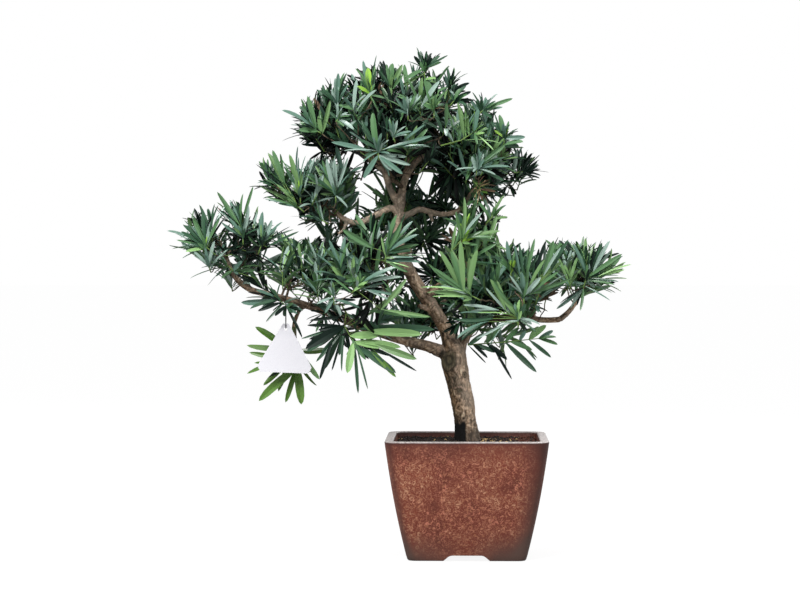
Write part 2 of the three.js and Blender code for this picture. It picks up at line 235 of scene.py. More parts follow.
def add_world():
    """A world that is white to the eye, and gives more light from above than from the sides."""
    world = bpy.data.worlds.new("studio")
    world.use_nodes = True
    nodes, links = world.node_tree.nodes, world.node_tree.links
    lit = nodes["Background"]
    lit.inputs["Color"].default_value = (1, 1, 1, 1)
    seen = nodes.new("ShaderNodeBackground")
    seen.inputs["Color"].default_value = (1, 1, 1, 1)
    split = nodes.new("ShaderNodeSeparateXYZ")
    links.new(nodes.new("ShaderNodeTexCoord").outputs["Generated"], split.inputs[0])
    height = nodes.new("ShaderNodeMapRange")
    links.new(split.outputs["Z"], height.inputs["Value"])
    height.inputs["To Min"].default_value = SKY_LEVEL
    height.inputs["To Max"].default_value = SKY_ABOVE
    links.new(height.outputs[0], lit.inputs["Strength"])
    rays = nodes.new("ShaderNodeLightPath")
    choice = nodes.new("ShaderNodeMixShader")
    links.new(rays.outputs["Is Camera Ray"], choice.inputs[0])
    links.new(lit.outputs[0], choice.inputs[1])
    links.new(seen.outputs[0], choice.inputs[2])
    links.new(choice.outputs[0], nodes["World Output"].inputs["Surface"])
    bpy.context.scene.world = world


def make_floor_finish():
    """Pale paper that glows to the eye and gives the plant little light from below."""
    paper = Finish("floor_paper", (0.13, 0.13, 0.13, 1), 0.95, Specular_IOR_Level=0.0)
    paper.shader.inputs["Emission Color"].default_value = (1, 1, 1, 1)
    rays = paper.node("LightPath").outputs["Is Camera Ray"]
    paper.drive("Emission Strength", paper.times(rays, FLOOR_GLOW))
    paper.drive("Base Color", paper.mix(rays, (0.28, 0.28, 0.28, 1), (0.13, 0.13, 0.13, 1)))
    return paper.material


def add_floor():
    """A wide disc just under the pot."""
    bm = bmesh.new()
    bmesh.ops.create_circle(bm, cap_ends=True, segments=96, radius=FLOOR_RADIUS)
    mesh = mesh_from(bm, "floor")
    mesh.materials.append(make_floor_finish())
    floor = bpy.data.objects.new("floor", mesh)
    floor.location = (0, 0, -0.0005)
    bpy.context.scene.collection.objects.link(floor)


def mesh_from(bm, name):
    """Turns a bmesh into a mesh and frees it."""
    mesh = bpy.data.meshes.new(name)
    bm.to_mesh(mesh)
    bm.free()
    return mesh


bpy.context.scene.view_settings.view_transform = "Standard"
add_world()
add_floor()
add_softbox("key", (-0.8, -2.0, 2.0), (0, 0, 0.45), 0.9, 64)
add_softbox("fill", (1.7, -1.9, 1.2), (0, 0, 0.4), 1.2, 9)
add_softbox("rim", (0.9, 2.0, 1.9), (0, 0, 0.5), 1.2, 34)
print("studio: floor", FLOOR_RADIUS, "m, sky from", SKY_LEVEL, "to", SKY_ABOVE)

# %% [markdown]
# ## Making pieces
# A finished piece sits at the origin with its place in its mesh. Every piece rides on the one body of
# this object, and the CAD nodes whose place it takes are hidden.


# %% Piece helpers
def add_piece(name, mesh, stands_for, smooth=True):
    """Links a mesh as a piece of the object."""
    piece = bpy.data.objects.new(name, mesh)
    bpy.context.scene.collection.objects.link(piece)
    if smooth:
        mesh.shade_smooth()
    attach(piece, "root")
    if stands_for:
        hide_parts(*stands_for)
    print("piece:", name, len(mesh.polygons), "faces")
    return piece


def finished_mesh(piece):
    """The mesh of a piece with its modifiers applied."""
    depsgraph = bpy.context.evaluated_depsgraph_get()
    mesh = bpy.data.meshes.new_from_object(piece.evaluated_get(depsgraph))
    piece.modifiers.clear()
    piece.data = mesh
    return mesh


def add_modifier(piece, kind, **settings):
    """Adds a modifier with its settings."""
    modifier = piece.modifiers.new(kind.lower(), kind)
    for key, value in settings.items():
        setattr(modifier, key, value)
    return modifier


def joined_mesh(name, places, faces, kinds=None):
    """One mesh from copies of a shape: their vertex places (copy, vertex, xyz) and the shape's faces."""
    copies, size = places.shape[:2]
    corners = (faces[None] + (np.arange(copies) * size)[:, None, None]).reshape(-1, faces.shape[1])
    mesh = bpy.data.meshes.new(name)
    mesh.vertices.add(copies * size)
    mesh.vertices.foreach_set("co", places.astype(np.float32).ravel())
    mesh.loops.add(corners.size)
    mesh.loops.foreach_set("vertex_index", corners.astype(np.int32).ravel())
    mesh.polygons.add(len(corners))
    mesh.polygons.foreach_set("loop_start", np.arange(0, corners.size, faces.shape[1], dtype=np.int32))
    if kinds is not None:
        mesh.polygons.foreach_set("material_index", np.repeat(kinds, len(faces)).astype(np.int32))
    mesh.update(calc_edges=True)
    return mesh


print("pieces: helpers ready")

# %% [markdown]
# ## Pot
# A slab-built square pot is narrower at its foot, and its walls swell very slightly. Its corners are
# rounded, and more so at the rim. One outline, a square with round corners, is lofted through levels: up
# the outside, over the lip, down the inside and in to the drain hole. Two bars cut away under it leave
# four feet.

# %% The outline of the pot
POT_HEIGHT = 0.1735
FOOT_HALF, RIM_HALF = 0.0858, 0.1184
SIDE_SWELL = 0.0027
FOOT_CORNER, RIM_CORNER = 0.012, 0.024
WALL = 0.013
FLOOR_THICK = 0.016
DRAIN_RADIUS = 0.012
OUTLINE_SIDES = 96
CORNER_CROWDING = 0.16


def pot_half(height):
    """Half the pot's width at a height."""
    share = height / POT_HEIGHT
    return FOOT_HALF + (RIM_HALF - FOOT_HALF) * share + 4 * SIDE_SWELL * share * (1 - share)


def pot_corner(height):
    """The radius of the pot's corners at a height."""
    return FOOT_CORNER + (RIM_CORNER - FOOT_CORNER) * height / POT_HEIGHT


def outline_point(angle, half, corner):
    """A point of a square with round corners, in the direction of an angle."""
    flat = half - corner
    x, y = math.cos(angle), math.sin(angle)
    reach = half / max(abs(x), abs(y))
    px, py = x * reach, y * reach
    if min(abs(px), abs(py)) > flat:
        turn = math.atan2(abs(py) - flat, abs(px) - flat)
        px = math.copysign(flat + corner * math.cos(turn), px)
        py = math.copysign(flat + corner * math.sin(turn), py)
    return px, py


def pushed_cap(bm, cap, first):
    """Extrudes a cap and returns the new one. The old one goes, unless it closes the start."""
    made = bmesh.ops.extrude_face_region(bm, geom=[cap])["geom"]
    if not first:
        bmesh.ops.delete(bm, geom=[cap], context="FACES_ONLY")
    return next(item for item in made if isinstance(item, bmesh.types.BMFace))


def loft(levels, sides=OUTLINE_SIDES):
    """A bmesh through levels, each half, corner and height. Its ends are closed by a face."""
    bm = bmesh.new()
    turn = bm.verts.layers.float.new("turn")
    ring = bmesh.ops.create_circle(bm, cap_ends=True, segments=sides, radius=1.0)["verts"]
    for step, vert in enumerate(ring):
        even = step * 2 * math.pi / sides
        vert[turn] = even + CORNER_CROWDING * math.sin(4 * even)
    cap = bm.faces[:][0]
    for index, (half, corner, height) in enumerate(levels):
        if index:
            cap = pushed_cap(bm, cap, index == 1)
        for vert in cap.verts:
            x, y = outline_point(vert[turn], half, corner)
            vert.co = (POT_X + x, POT_Y + y, height)
    return bm


print("pot:", round(2 * RIM_HALF, 4), "m wide at the rim,", POT_HEIGHT, "m high")

# %% The walls, lip and feet
LIP_ROUND = 0.0022


def wall_levels():
    """The section of the pot, from the middle of its underside to the middle of its inside."""
    levels = [(DRAIN_RADIUS, DRAIN_RADIUS * 0.999, 0.0), (FOOT_HALF - 0.02, FOOT_CORNER, 0.0)]
    levels += [(FOOT_HALF - 0.0015, FOOT_CORNER, 0.0), (FOOT_HALF, FOOT_CORNER, 0.0015)]
    levels += [(pot_half(z), pot_corner(z), z) for z in np.linspace(0.007, POT_HEIGHT - 0.006, 14)]
    for step in range(5):
        turn = step * math.pi / 8
        height = POT_HEIGHT - LIP_ROUND * (1 - math.sin(turn))
        half = pot_half(height) - LIP_ROUND * (1 - math.cos(turn))
        levels.append((half, pot_corner(height), height))
    inner = RIM_HALF - WALL
    for step in range(5):
        turn = step * math.pi / 8
        height = POT_HEIGHT - LIP_ROUND * (1 - math.cos(turn))
        levels.append((inner + LIP_ROUND * (1 - math.sin(turn)), RIM_CORNER - WALL + 0.004, height))
    for height in np.linspace(POT_HEIGHT - 0.008, FLOOR_THICK, 5):
        levels.append((pot_half(height) - WALL, max(pot_corner(height) - WALL, 0.004) + 0.003, height))
    levels.append((DRAIN_RADIUS, DRAIN_RADIUS * 0.999, FLOOR_THICK))
    return levels


def close_through_hole(bm):
    """Takes the two end caps away and joins their rims, as the wall of the drain hole."""
    caps = [face for face in bm.faces if len(face.verts) > 8]
    edges = [edge for face in caps for edge in face.edges]
    bmesh.ops.delete(bm, geom=caps, context="FACES_ONLY")
    bmesh.ops.bridge_loops(bm, edges=edges)
    bmesh.ops.recalc_face_normals(bm, faces=bm.faces[:])


NOTCH_LOW, NOTCH_HIGH, NOTCH_TALL = 0.067, 0.049, 0.008
BAR_DEPTH = 0.01


def add_bar(bm, turn):
    """Adds one bar, wider below, that runs right through under the pot."""
    bar = bmesh.ops.create_cube(bm, size=1.0)["verts"]
    for vert in bar:
        low = vert.co.z < 0
        widening = (NOTCH_LOW - NOTCH_HIGH) * BAR_DEPTH / NOTCH_TALL
        half = (NOTCH_LOW + widening if low else NOTCH_HIGH) / 2
        place = Vector((math.copysign(half, vert.co.x), vert.co.y * 0.4, -BAR_DEPTH if low else NOTCH_TALL))
        vert.co = Matrix.Rotation(turn, 3, "Z") @ place + Vector((POT_X, POT_Y, 0))
    edges = {edge for vert in bar if vert.co.z > 0 for edge in vert.link_edges}
    long_edges = [edge for edge in edges if edge.calc_length() > 0.3]
    bmesh.ops.bevel(bm, geom=long_edges, offset=0.004, segments=4, profile=0.5, affect="EDGES", material=-1)


def foot_cutter():
    """Two crossing bars that leave four feet under the pot."""
    bm = bmesh.new()
    add_bar(bm, 0)
    add_bar(bm, math.pi / 2)
    bmesh.ops.recalc_face_normals(bm, faces=bm.faces[:])
    return bm


def make_pot():
    """The pot with its four feet cut free."""
    bm = loft(wall_levels())
    close_through_hole(bm)
    pot = add_piece("pot_glazed", mesh_from(bm, "pot_glazed"), ["pot"])
    cutter_mesh = mesh_from(foot_cutter(), "foot_cutter")
    cutter = bpy.data.objects.new("foot_cutter", cutter_mesh)
    bpy.context.scene.collection.objects.link(cutter)
    add_modifier(pot, "BOOLEAN", object=cutter, operation="DIFFERENCE", solver="EXACT", use_self=True)
    mesh = finished_mesh(pot)
    bpy.data.objects.remove(cutter)
    bpy.data.meshes.remove(cutter_mesh)
    return pot, mesh


pot, pot_mesh = make_pot()
print("pot: glazed walls", len(pot_mesh.vertices), "points")

# %% [markdown]
# The glaze is an iron red that broke into small tan curls as it ran, with a few dark pits. It goes dark and
# grey towards the corners, under the lip and near the feet, and pale where it thinned over the lip. The
# curls are a noise that is warped by itself: a narrow band of its values gives thin winding lines.

# %% Glaze
CURL_DRIFT = 0.011


def edge_weight(point):
    """How near a point of the wall is to a corner, the lip or the foot, from 0 to 1."""
    x, y = point.x - POT_X, point.y - POT_Y
    near = min(abs(x), abs(y)) / pot_half(point.z)
    # The dark band is wider at the front right and back left corners, and deeper towards the foot there.
    start = 0.66 if x * y < 0 else 0.86
    corner = max(0.0, (near - start) / (1 - start))
    drop = POT_HEIGHT - point.z
    top = 0.75 * max(0.0, 1 - drop / 0.005) + 0.42 * max(0.0, 1 - drop / 0.034)
    foot = max(0.0, 1 - point.z / 0.05) * min(1.0, 0.25 + near * (1.4 if x * y < 0 else 0.8))
    return min(1.0, 0.9 * corner ** 1.2 + top + foot ** 1.2)


def store_values(mesh, name, values):
    """Stores one number for each vertex under a name that a material can read."""
    mesh.attributes.new(name, "FLOAT", "POINT").data.foreach_set("value", np.asarray(values, np.float32))


def make_glaze():
    """Mottled iron-red glaze, dark at the edges and pale on the lip."""
    glaze = Finish("iron_red_glaze", tone(118, 62, 46), 0.42, Specular_IOR_Level=0.45)
    spot = glaze.place()
    edge, lip = glaze.stored("edge"), glaze.stored("lip")
    inside = glaze.times(1.0, edge, "SUBTRACT")
    drift = glaze.cloud(spot, 26.0, 3.0)
    body = glaze.ramp(drift, (0.32, tone(98, 44, 32)), (0.5, tone(114, 52, 38)), (0.68, tone(126, 58, 42)))
    warp = glaze.cloud(spot, 128.0, Distortion=2.6)
    line = glaze.greys(warp, (0.45, 0), (0.49, 1), (0.51, 1), (0.555, 0))
    wobble = glaze.cloud(spot, 95.0, output="Color")
    moved = glaze.node("VectorMath", {"operation": "MULTIPLY_ADD"},
                       _0=wobble, _1=(CURL_DRIFT,) * 3, _2=spot)
    ring = glaze.greys(glaze.cells(moved.outputs[0], 138.0), (0.24, 0), (0.32, 1), (0.37, 1), (0.45, 0))
    arc = glaze.times(ring, glaze.greys(glaze.cloud(spot, 170.0, 1.0), (0.44, 0), (0.52, 1)))
    curl = glaze.times(arc, glaze.times(line, 0.5), "MAXIMUM")
    where = glaze.greys(glaze.cloud(spot, 34.0), (0.26, 0), (0.46, 1))
    buff = glaze.ramp(drift, (0.42, tone(192, 120, 96)), (0.6, tone(196, 146, 114)))
    body = glaze.mix(glaze.times(glaze.times(curl, where), inside), body, buff)
    grit = glaze.greys(glaze.cloud(spot, 360.0), (0.56, 0), (0.64, 1))
    body = glaze.mix(glaze.times(glaze.times(grit, inside), 0.55), body, tone(184, 122, 90))
    pit = glaze.greys(glaze.cells(spot, 150.0), (0.05, 1), (0.1, 0))
    rare = glaze.greys(glaze.cloud(spot, 60.0), (0.56, 0), (0.6, 1))
    body = glaze.mix(glaze.times(pit, rare), body, tone(40, 26, 24))
    tall = glaze.reach(glaze.node("SeparateXYZ", Vector=spot).outputs["Z"], 0.01, 0.15)
    edge_tone = glaze.ramp(tall, (0.0, tone(92, 70, 62)), (0.7, tone(70, 46, 40)), (1.0, tone(74, 40, 34)))
    dust = glaze.cloud(spot, 300.0, 4.0)
    pale = glaze.ramp(dust, (0.35, tone(150, 141, 138)), (0.65, tone(198, 190, 188)))
    glaze.drive("Base Color", glaze.mix(lip, glaze.mix(edge, body, edge_tone), pale))
    glaze.drive("Roughness", glaze.greys(warp, (0.4, 0.36), (0.6, 0.52)))
    glaze.bump(warp, 0.35, 0.0006)
    return glaze.material


def lip_weight(point):
    """1 on the flat of the lip, 0 a little below it."""
    return min(1.0, max(0.0, (point.z - (POT_HEIGHT - 0.0021)) / 0.0013))


points = [vertex.co for vertex in pot_mesh.vertices]
store_values(pot_mesh, "edge", [edge_weight(point) for point in points])
store_values(pot_mesh, "lip", [lip_weight(point) for point in points])
pot_mesh.materials.clear()
pot_mesh.materials.append(make_glaze())
add_modifier(pot, "WEIGHTED_NORMAL", keep_sharp=True)
pot_mesh.set_sharp_from_angle(angle=math.radians(38))
print("glaze: painted on", len(points), "points")

# %% [markdown]
# ## Soil
# Bonsai soil is a bed of small hard grains. The bed is lofted inside the walls with a rough top, and loose
# grains lie on it, dark and damp for the most part, tan where they have dried beside the trunk, with some
# red-brown crumbs of bark in the back corner.

# %% Soil bed
SOIL_TOP = 0.164
SOIL_GAP = 0.0004
MOUND_HEIGHT, MOUND_REACH = 0.0022, 0.045
SOIL_ROUGHNESS, SOIL_FINENESS = 0.0016, 90
TRUNK_FOOT = Vector((POT_X + 0.002, POT_Y, SOIL_TOP))


def soil_rise(x, y):
    """Height of the bed's surface above its level, higher round the trunk."""
    near = math.exp(-((x - TRUNK_FOOT.x) ** 2 + (y - TRUNK_FOOT.y) ** 2) / MOUND_REACH ** 2)
    return MOUND_HEIGHT * near + SOIL_ROUGHNESS * noise.noise(Vector((x, y, 0)) * SOIL_FINENESS)


def make_soil_bed():
    """The bed: a block that fills the pot up to its rough top."""
    levels = []
    for height in (FLOOR_THICK + SOIL_GAP, SOIL_TOP - 0.03, SOIL_TOP - 0.001):
        half = pot_half(height) - WALL - SOIL_GAP
        levels.append((half, max(pot_corner(height) - WALL, 0.004) + 0.003, height))
    top_half = levels[-1][0]
    for share in np.linspace(0.97, 0.03, 30):
        levels.append((top_half * share, 0.014 * share, SOIL_TOP))
    bm = loft(levels, 88)
    for vertex in bm.verts:
        if vertex.co.z > SOIL_TOP - 0.0005:
            vertex.co.z += soil_rise(vertex.co.x, vertex.co.y)
    bmesh.ops.recalc_face_normals(bm, faces=bm.faces[:])
    bed = add_piece("soil_bed", mesh_from(bm, "soil_bed"), ["soil"])
    damp_and_painted_shade = Finish("damp_soil", tone(38, 29, 24), 0.92, Specular_IOR_Level=0.2)
    crumb = damp_and_painted_shade.cloud(damp_and_painted_shade.place(), 420.0, 4.0)
    damp_and_painted_shade.drive("Base Color", damp_and_painted_shade.ramp(crumb, (0.35, tone(13, 10, 9)), (0.7, tone(50, 38, 30))))
    damp_and_painted_shade.bump(crumb, 0.9, 0.0015)
    bed.data.materials.append(damp_and_painted_shade.material)
    return bed


soil_bed = make_soil_bed()
print("soil bed:", len(soil_bed.data.vertices), "points")

# %% Loose grains
GRAIN_COUNT = 3000
GRAIN_TONES = {"grain_dark": (36, 27, 23), "grain_tan": (176, 146, 100), "grain_bark": (84, 48, 36)}


def grain_kind(x, y, chance):
    """Which kind of grain lies at a place: 0 dark, 1 tan, 2 red-brown."""
    right = (x - TRUNK_FOOT.x) / 0.1
    back = (y - POT_Y) / 0.1
    dry = 0.34 * math.exp(-((right - 0.3) ** 2) / 0.04 - (back + 0.1) ** 2 / 0.3) + 0.03
    bark = 0.8 * math.exp(-((right - 0.85) ** 2) / 0.05) * (1 if back > -0.2 else 0.35)
    if chance < bark:
        return 2
    return 1 if chance < bark + dry else 0


def make_grains():
    """Loose grains as one joined mesh of small uneven stones."""
    draw = np.random.default_rng(41)
    bm = bmesh.new()
    bmesh.ops.create_icosphere(bm, subdivisions=1, radius=1.0)
    stone = np.array([vertex.co for vertex in bm.verts])
    faces = np.array([[vertex.index for vertex in face.verts] for face in bm.faces])
    bm.free()
    half = pot_half(SOIL_TOP) - WALL - 0.003
    x = POT_X + draw.uniform(-half, half, GRAIN_COUNT)
    y = POT_Y + draw.uniform(-half, half, GRAIN_COUNT)
    size = draw.uniform(0.0009, 0.0026, (GRAIN_COUNT, 1, 1)) * draw.uniform(0.65, 1.2, (GRAIN_COUNT, 1, 3))
    bumps = draw.uniform(0.8, 1.15, (GRAIN_COUNT, len(stone), 1))
    turn = draw.uniform(0, 2 * math.pi, GRAIN_COUNT)
    shape = stone[None] * bumps * size
    turned = shape.copy()
    turned[..., 0] = shape[..., 0] * np.cos(turn)[:, None] - shape[..., 1] * np.sin(turn)[:, None]
    turned[..., 1] = shape[..., 0] * np.sin(turn)[:, None] + shape[..., 1] * np.cos(turn)[:, None]
    z = np.array([SOIL_TOP + soil_rise(a, b) for a, b in zip(x, y)]) + size[:, 0, 2] * 0.55
    turned += np.stack([x, y, z], 1)[:, None]
    chance = draw.random(GRAIN_COUNT)
    kinds = [grain_kind(a, b, c) for a, b, c in zip(x, y, chance)]
    mesh = joined_mesh("soil_grains", turned, faces, np.array(kinds))
    grains = add_piece("soil_grains", mesh, [], smooth=False)
    for name, colour in GRAIN_TONES.items():
        finish = Finish(name, tone(*colour), 0.9, Specular_IOR_Level=0.25)
        pore = finish.cloud(finish.place(), 700.0, 3.0)
        low, high = [tone(*(part * share for part in colour)) for share in (0.6, 1.2)]
        finish.drive("Base Color", finish.ramp(pore, (0.3, low), (0.7, high)))
        mesh.materials.append(finish.material)
    return grains


make_grains()
print("soil:", GRAIN_COUNT, "grains")

# %% [markdown]
# ## Limbs
# Each limb is a line of stations with a radius at each, and a smooth curve runs through them. A station
# is how far right, back and up it is, and its radius, in millimetres. They are counted from a plumb line,
# 98 mm to the left of the pot's middle. The tubes along these curves are fused into one skin by a voxel
# remesh, so that a bough swells out of the trunk with no seam, as living wood does.

# %% Where the limbs run
PLUMB = np.array([POT_X - 0.098, POT_Y, 0.0])
LIMBS = {
    "trunk": [
        (100.6, 0, 160, 20.6), (96.8, 0, 186, 17), (92.8, 0, 218, 16.3), (87.2, 2, 248, 17),
        (80.4, 4, 277, 18.8), (79, 5, 301, 16), (66, 7, 333, 10.8), (44, 8, 368, 10), (21, 5, 403, 9.3),
        (3, -2, 442, 8), (-4, -6, 478, 7.2), (1.5, -5, 520, 6.4)],
    "low_left_bough_inner": [
        (76, 4, 292, 9.5), (51, 0, 303, 8.3), (0, -10, 317, 7), (-50, -15, 333, 6.3),
        (-121, -10, 361, 5.5), (-178, -4, 378, 5), (-218, 2, 388, 4.8)],
    "low_left_bough_outer": [
        (-218, 2, 388, 4.8), (-234, 4, 398, 4.5), (-247, 7, 413, 4), (-256, 8, 434, 3.5),
        (-262, 8, 452, 3)],
    "low_left_twig": [(-140, -8, 366, 4), (-150, 18, 358, 3.2), (-160, 40, 334, 2.6)],
    "low_right_bough_inner": [
        (88, 5, 294, 8), (94, 4, 316, 6.8), (117, -2, 339, 5.6), (162, -10, 349, 4.9),
        (214, -12, 345, 4.4), (234, -11, 346, 4.3)],
    "low_right_bough_outer": [
        (234, -11, 346, 4.3), (247, -8, 357, 3.9), (259, -4, 374, 3.3), (266, 0, 394, 2.7)],
    "mid_left_bough": [
        (-1, -6, 499, 5.6), (-12, -10, 509, 5.1), (-38, -18, 497, 4.7), (-62, -20, 487, 4.2),
        (-86, -14, 496, 3.7), (-108, -6, 518, 3)],
    "mid_right_bough": [
        (1, -5, 495, 5.2), (17, -10, 502, 4.6), (28, -12, 507, 4.3), (60, -11, 500, 3.9),
        (84, -3, 505, 3.5), (112, 8, 544, 3)],
    "top_left_stem": [
        (0, -5, 508, 5.6), (-16, -1, 541, 5), (-24, 4, 563, 4.5), (-46, 8, 582, 3.8), (-70, 10, 602, 3.2)],
    "top_right_stem": [
        (1.5, -5, 516, 6.2), (5, -3, 545, 5.6), (18, 1, 571, 5), (36, 5, 588, 4.3), (58, 8, 602, 3.6)],
    "front_bough": [(14, 2, 416, 7), (2, -30, 424, 5.4), (-22, -72, 432, 4)],
    "right_bough": [(36, 7, 380, 7), (62, -8, 396, 5.6), (96, -22, 404, 4.6), (130, -28, 402, 3.8)],
    "back_right_bough": [(52, 8, 356, 7), (62, 46, 372, 5.6), (84, 96, 392, 4.6), (104, 140, 404, 3.6)],
    "back_middle_bough": [(-4, -6, 474, 6), (-3, 34, 484, 4.6), (4, 78, 500, 3.6)],
    "back_left_bough": [(6, -1, 436, 7), (-10, 38, 440, 5.6), (-48, 88, 446, 4.6), (-82, 124, 448, 3.6)],
}
print("limbs:", len(LIMBS), "with", sum(len(stations) for stations in LIMBS.values()), "stations")

# %% Curves and tubes
LIMB_STEP = 0.006
LIMB_SIDES = 20


def unit(vectors, least=0.0):
    """Each row scaled to length 1. A least length keeps a row of nothing from dividing by nothing."""
    return vectors / (np.linalg.norm(vectors, axis=1)[:, None] + least)


def bridge(t, start, leave, end, arrive):
    """Places at shares t along a curve that leaves its start one way and arrives at its end another."""
    return ((2 * t ** 3 - 3 * t ** 2 + 1) * start + (t ** 3 - 2 * t ** 2 + t) * leave
            + (-2 * t ** 3 + 3 * t ** 2) * end + (t ** 3 - t ** 2) * arrive)


def curve_through(stations, step):
    """Points (x, y, z, radius) about every step along a smooth curve through the stations, in metres."""
    given = np.array(stations, float) * MM
    given[:, :3] += PLUMB
    knots = np.vstack([2 * given[0] - given[1], given, 2 * given[-1] - given[-2]])
    line = []
    for before, start, end, after in zip(knots, knots[1:], knots[2:], knots[3:]):
        gaps = [math.sqrt(np.linalg.norm((b - a)[:3]))
                for a, b in ((before, start), (start, end), (end, after))]
        leave = (start - before) / gaps[0] - (end - before) / (gaps[0] + gaps[1]) + (end - start) / gaps[1]
        arrive = (end - start) / gaps[1] - (after - start) / (gaps[1] + gaps[2]) + (after - end) / gaps[2]
        count = max(2, round(np.linalg.norm((end - start)[:3]) / step))
        t = np.linspace(0, 1, count, endpoint=False)[:, None]
        line.append(bridge(t, start, leave * gaps[1], end, arrive * gaps[1]))
    line.append(given[-1:])
    return np.vstack(line)


def frames_along(points):
    """Tangent and two sides at each point of a line, carried along it without twist."""
    ways = unit(np.gradient(points, axis=0))
    side = np.cross(ways[0], (0.0, 0.0, 1.0) if abs(ways[0][2]) < 0.9 else (0.0, 1.0, 0.0))
    sides = []
    for way in ways:
        side = side - way * side.dot(way)
        side /= np.linalg.norm(side)
        sides.append(side)
    sides = np.array(sides)
    return ways, sides, np.cross(ways, sides)


def sweep(bm, line, sides):
    """Adds a closed tube of changing radius along a line to a bmesh."""
    ways, first, second = frames_along(line[:, :3])
    bmesh.ops.create_circle(bm, cap_ends=True, segments=sides, radius=1.0)
    bm.faces.ensure_lookup_table()
    cap = bm.faces[-1]
    before = Matrix.Identity(4)
    for index, (x, y, z, radius) in enumerate(line):
        if index:
            cap = pushed_cap(bm, cap, index == 1)
        axes = np.eye(4)
        axes[:3, 0], axes[:3, 1] = first[index] * radius, second[index] * radius
        axes[:3, 2], axes[:3, 3] = ways[index] * radius, (x, y, z)
        here = Matrix(axes)
        bmesh.ops.transform(bm, matrix=here @ before.inverted(), verts=cap.verts[:])
        before = here


limb_lines = {name: curve_through(stations, LIMB_STEP) for name, stations in LIMBS.items()}
print("limb lines:", sum(len(line) for line in limb_lines.values()), "points")

# %% [markdown]
# Cut stubs and old pruning scars are part of what makes this trunk: a round dark scar under the fork, a
# smaller knot below it, stubs where twigs were cut, and a pale broken lump higher up.

# %% Stubs
STUBS = [
    [(40, 4, 362, 4.5), (33, 0, 364, 3.6), (27, -3, 366, 3.2)],
    [(6, -4, 444, 4.6), (12, -10, 446, 3.6), (16, -14, 447, 3.2)],
    [(-78, -17, 488, 3), (-82, -19, 478, 2.4), (-90, -22, 471, 2.0)],
    [(196, -12, 347, 2.8), (197, -13, 356, 2.0), (199, -14, 366, 1.5)],
    [(-250, 8, 420, 3.2), (-258, 2, 436, 2.4), (-264, -4, 462, 1.5)],
    [(44, -11, 503, 3), (46, -14, 494, 2.4), (48, -16, 489, 2.0)],
]
WOOD_VOXEL = 0.00115


def fused_wood():
    """One mesh of all limbs and stubs, fused by a voxel remesh."""
    bm = bmesh.new()
    for line in limb_lines.values():
        sweep(bm, line, LIMB_SIDES)
    for stations in STUBS:
        sweep(bm, curve_through(stations, 0.003), 12)
    bmesh.ops.recalc_face_normals(bm, faces=bm.faces[:])
    wood = bpy.data.objects.new("wood", mesh_from(bm, "wood"))
    bpy.context.scene.collection.objects.link(wood)
    add_modifier(wood, "REMESH", mode="VOXEL", voxel_size=WOOD_VOXEL, adaptivity=0.0)
    add_modifier(wood, "SMOOTH", factor=0.5, iterations=3)
    mesh = finished_mesh(wood)
    bpy.data.objects.remove(wood)
    return mesh


wood_mesh = fused_wood()
print("wood:", len(wood_mesh.polygons), "faces fused")

# %% [markdown]
# ## Bark
# The bark of an old podocarpus is thin and peels in narrow upright strips. For each point of the skin the
# nearest limb is found, and the noise is read in that limb's own lengths: long along it and short round
# it. So the ridges follow every bend. The height of the relief is kept for the colours.

# %% Limb coordinates
BLOCK = 4000


def sample_limbs():
    """For every point of every limb: place, way, two sides, length along, radius and the limb's number."""
    rows = []
    for owner, line in enumerate(limb_lines.values()):
        steps = np.linalg.norm(np.diff(line[:, :3], axis=0), axis=1)
        length = np.concatenate([[0], np.cumsum(steps)])
        numbers = np.full(len(line), owner)
        rows.append((line[:, :3], *frames_along(line[:, :3]), length, line[:, 3], numbers))
    return [np.concatenate(column) for column in zip(*rows)]


limb_samples = sample_limbs()
print("limb samples:", len(limb_samples[0]))


def limb_coordinates(places):
    """For each place its limb's number, how far it is across, over and along it, and the limb's radius."""
    samples, ways, sides, seconds, lengths, radii, owners = limb_samples
    nearest = np.empty(len(places), int)
    for start in range(0, len(places), BLOCK):
        block = places[start:start + BLOCK]
        gaps = np.linalg.norm(block[:, None] - samples[None], axis=2) - radii[None]
        nearest[start:start + BLOCK] = gaps.argmin(1)
    offset = places - samples[nearest]
    along = lengths[nearest] + np.einsum("ij,ij->i", offset, ways[nearest])
    across = np.einsum("ij,ij->i", offset, sides[nearest])
    over = np.einsum("ij,ij->i", offset, seconds[nearest])
    return owners[nearest], np.stack([across, over, along], 1), radii[nearest]


# %% [markdown]
# A scar is a place on the skin, its size, how far its rim rises, and how deep its middle is sunk, all in
# millimetres. A rise below zero makes a swelling with no rim.

# %% Bark relief
SCARS = [
    ((71.5, -12, 286), 11.0, 2.3, 2.0),
    ((95.5, -14.5, 265), 3.6, 1.2, 1.0),
    ((88, -15, 242), 3.0, 0.7, 0.6),
    ((16, -5, 409), 7.5, -2.6, 1.6),
    ((14, -13, 447), 3.0, 1.8, 0.4),
    ((62, -5, 344), 4.0, -1.4, 0.6),
    ((-4, -12, 500), 4.0, -1.2, 0.5),
    ((51, 0, 291), 9.0, -3.2, 0.0),
]
RELIEF_SHARE, RELIEF_LEAST, RELIEF_MOST = 0.066, 0.00028, 0.00115
SWELL_SHARE = 0.085
FOOT_DARK_TOP = 0.215
BARK_SEED = 41


def bark_height(grain):
    """Relief of the bark at a limb coordinate, about -1 to 1."""
    across, over, along = grain
    wander = noise.noise_vector(Vector((across * 105, over * 105, along * 90)))
    strip = noise.noise(Vector((across * 250, over * 250, along * 100)) + 1.2 * wander)
    fine = noise.noise(Vector((across * 760, over * 760, along * 430 + 7)))
    plate = noise.voronoi(Vector((across * 180, over * 180, along * 105 + 3)) + 1.2 * wander)[0]
    crack = min(1.0, (plate[1] - plate[0]) * 3.6)
    return 0.52 * strip + 0.3 * fine + 0.5 * crack - 0.3


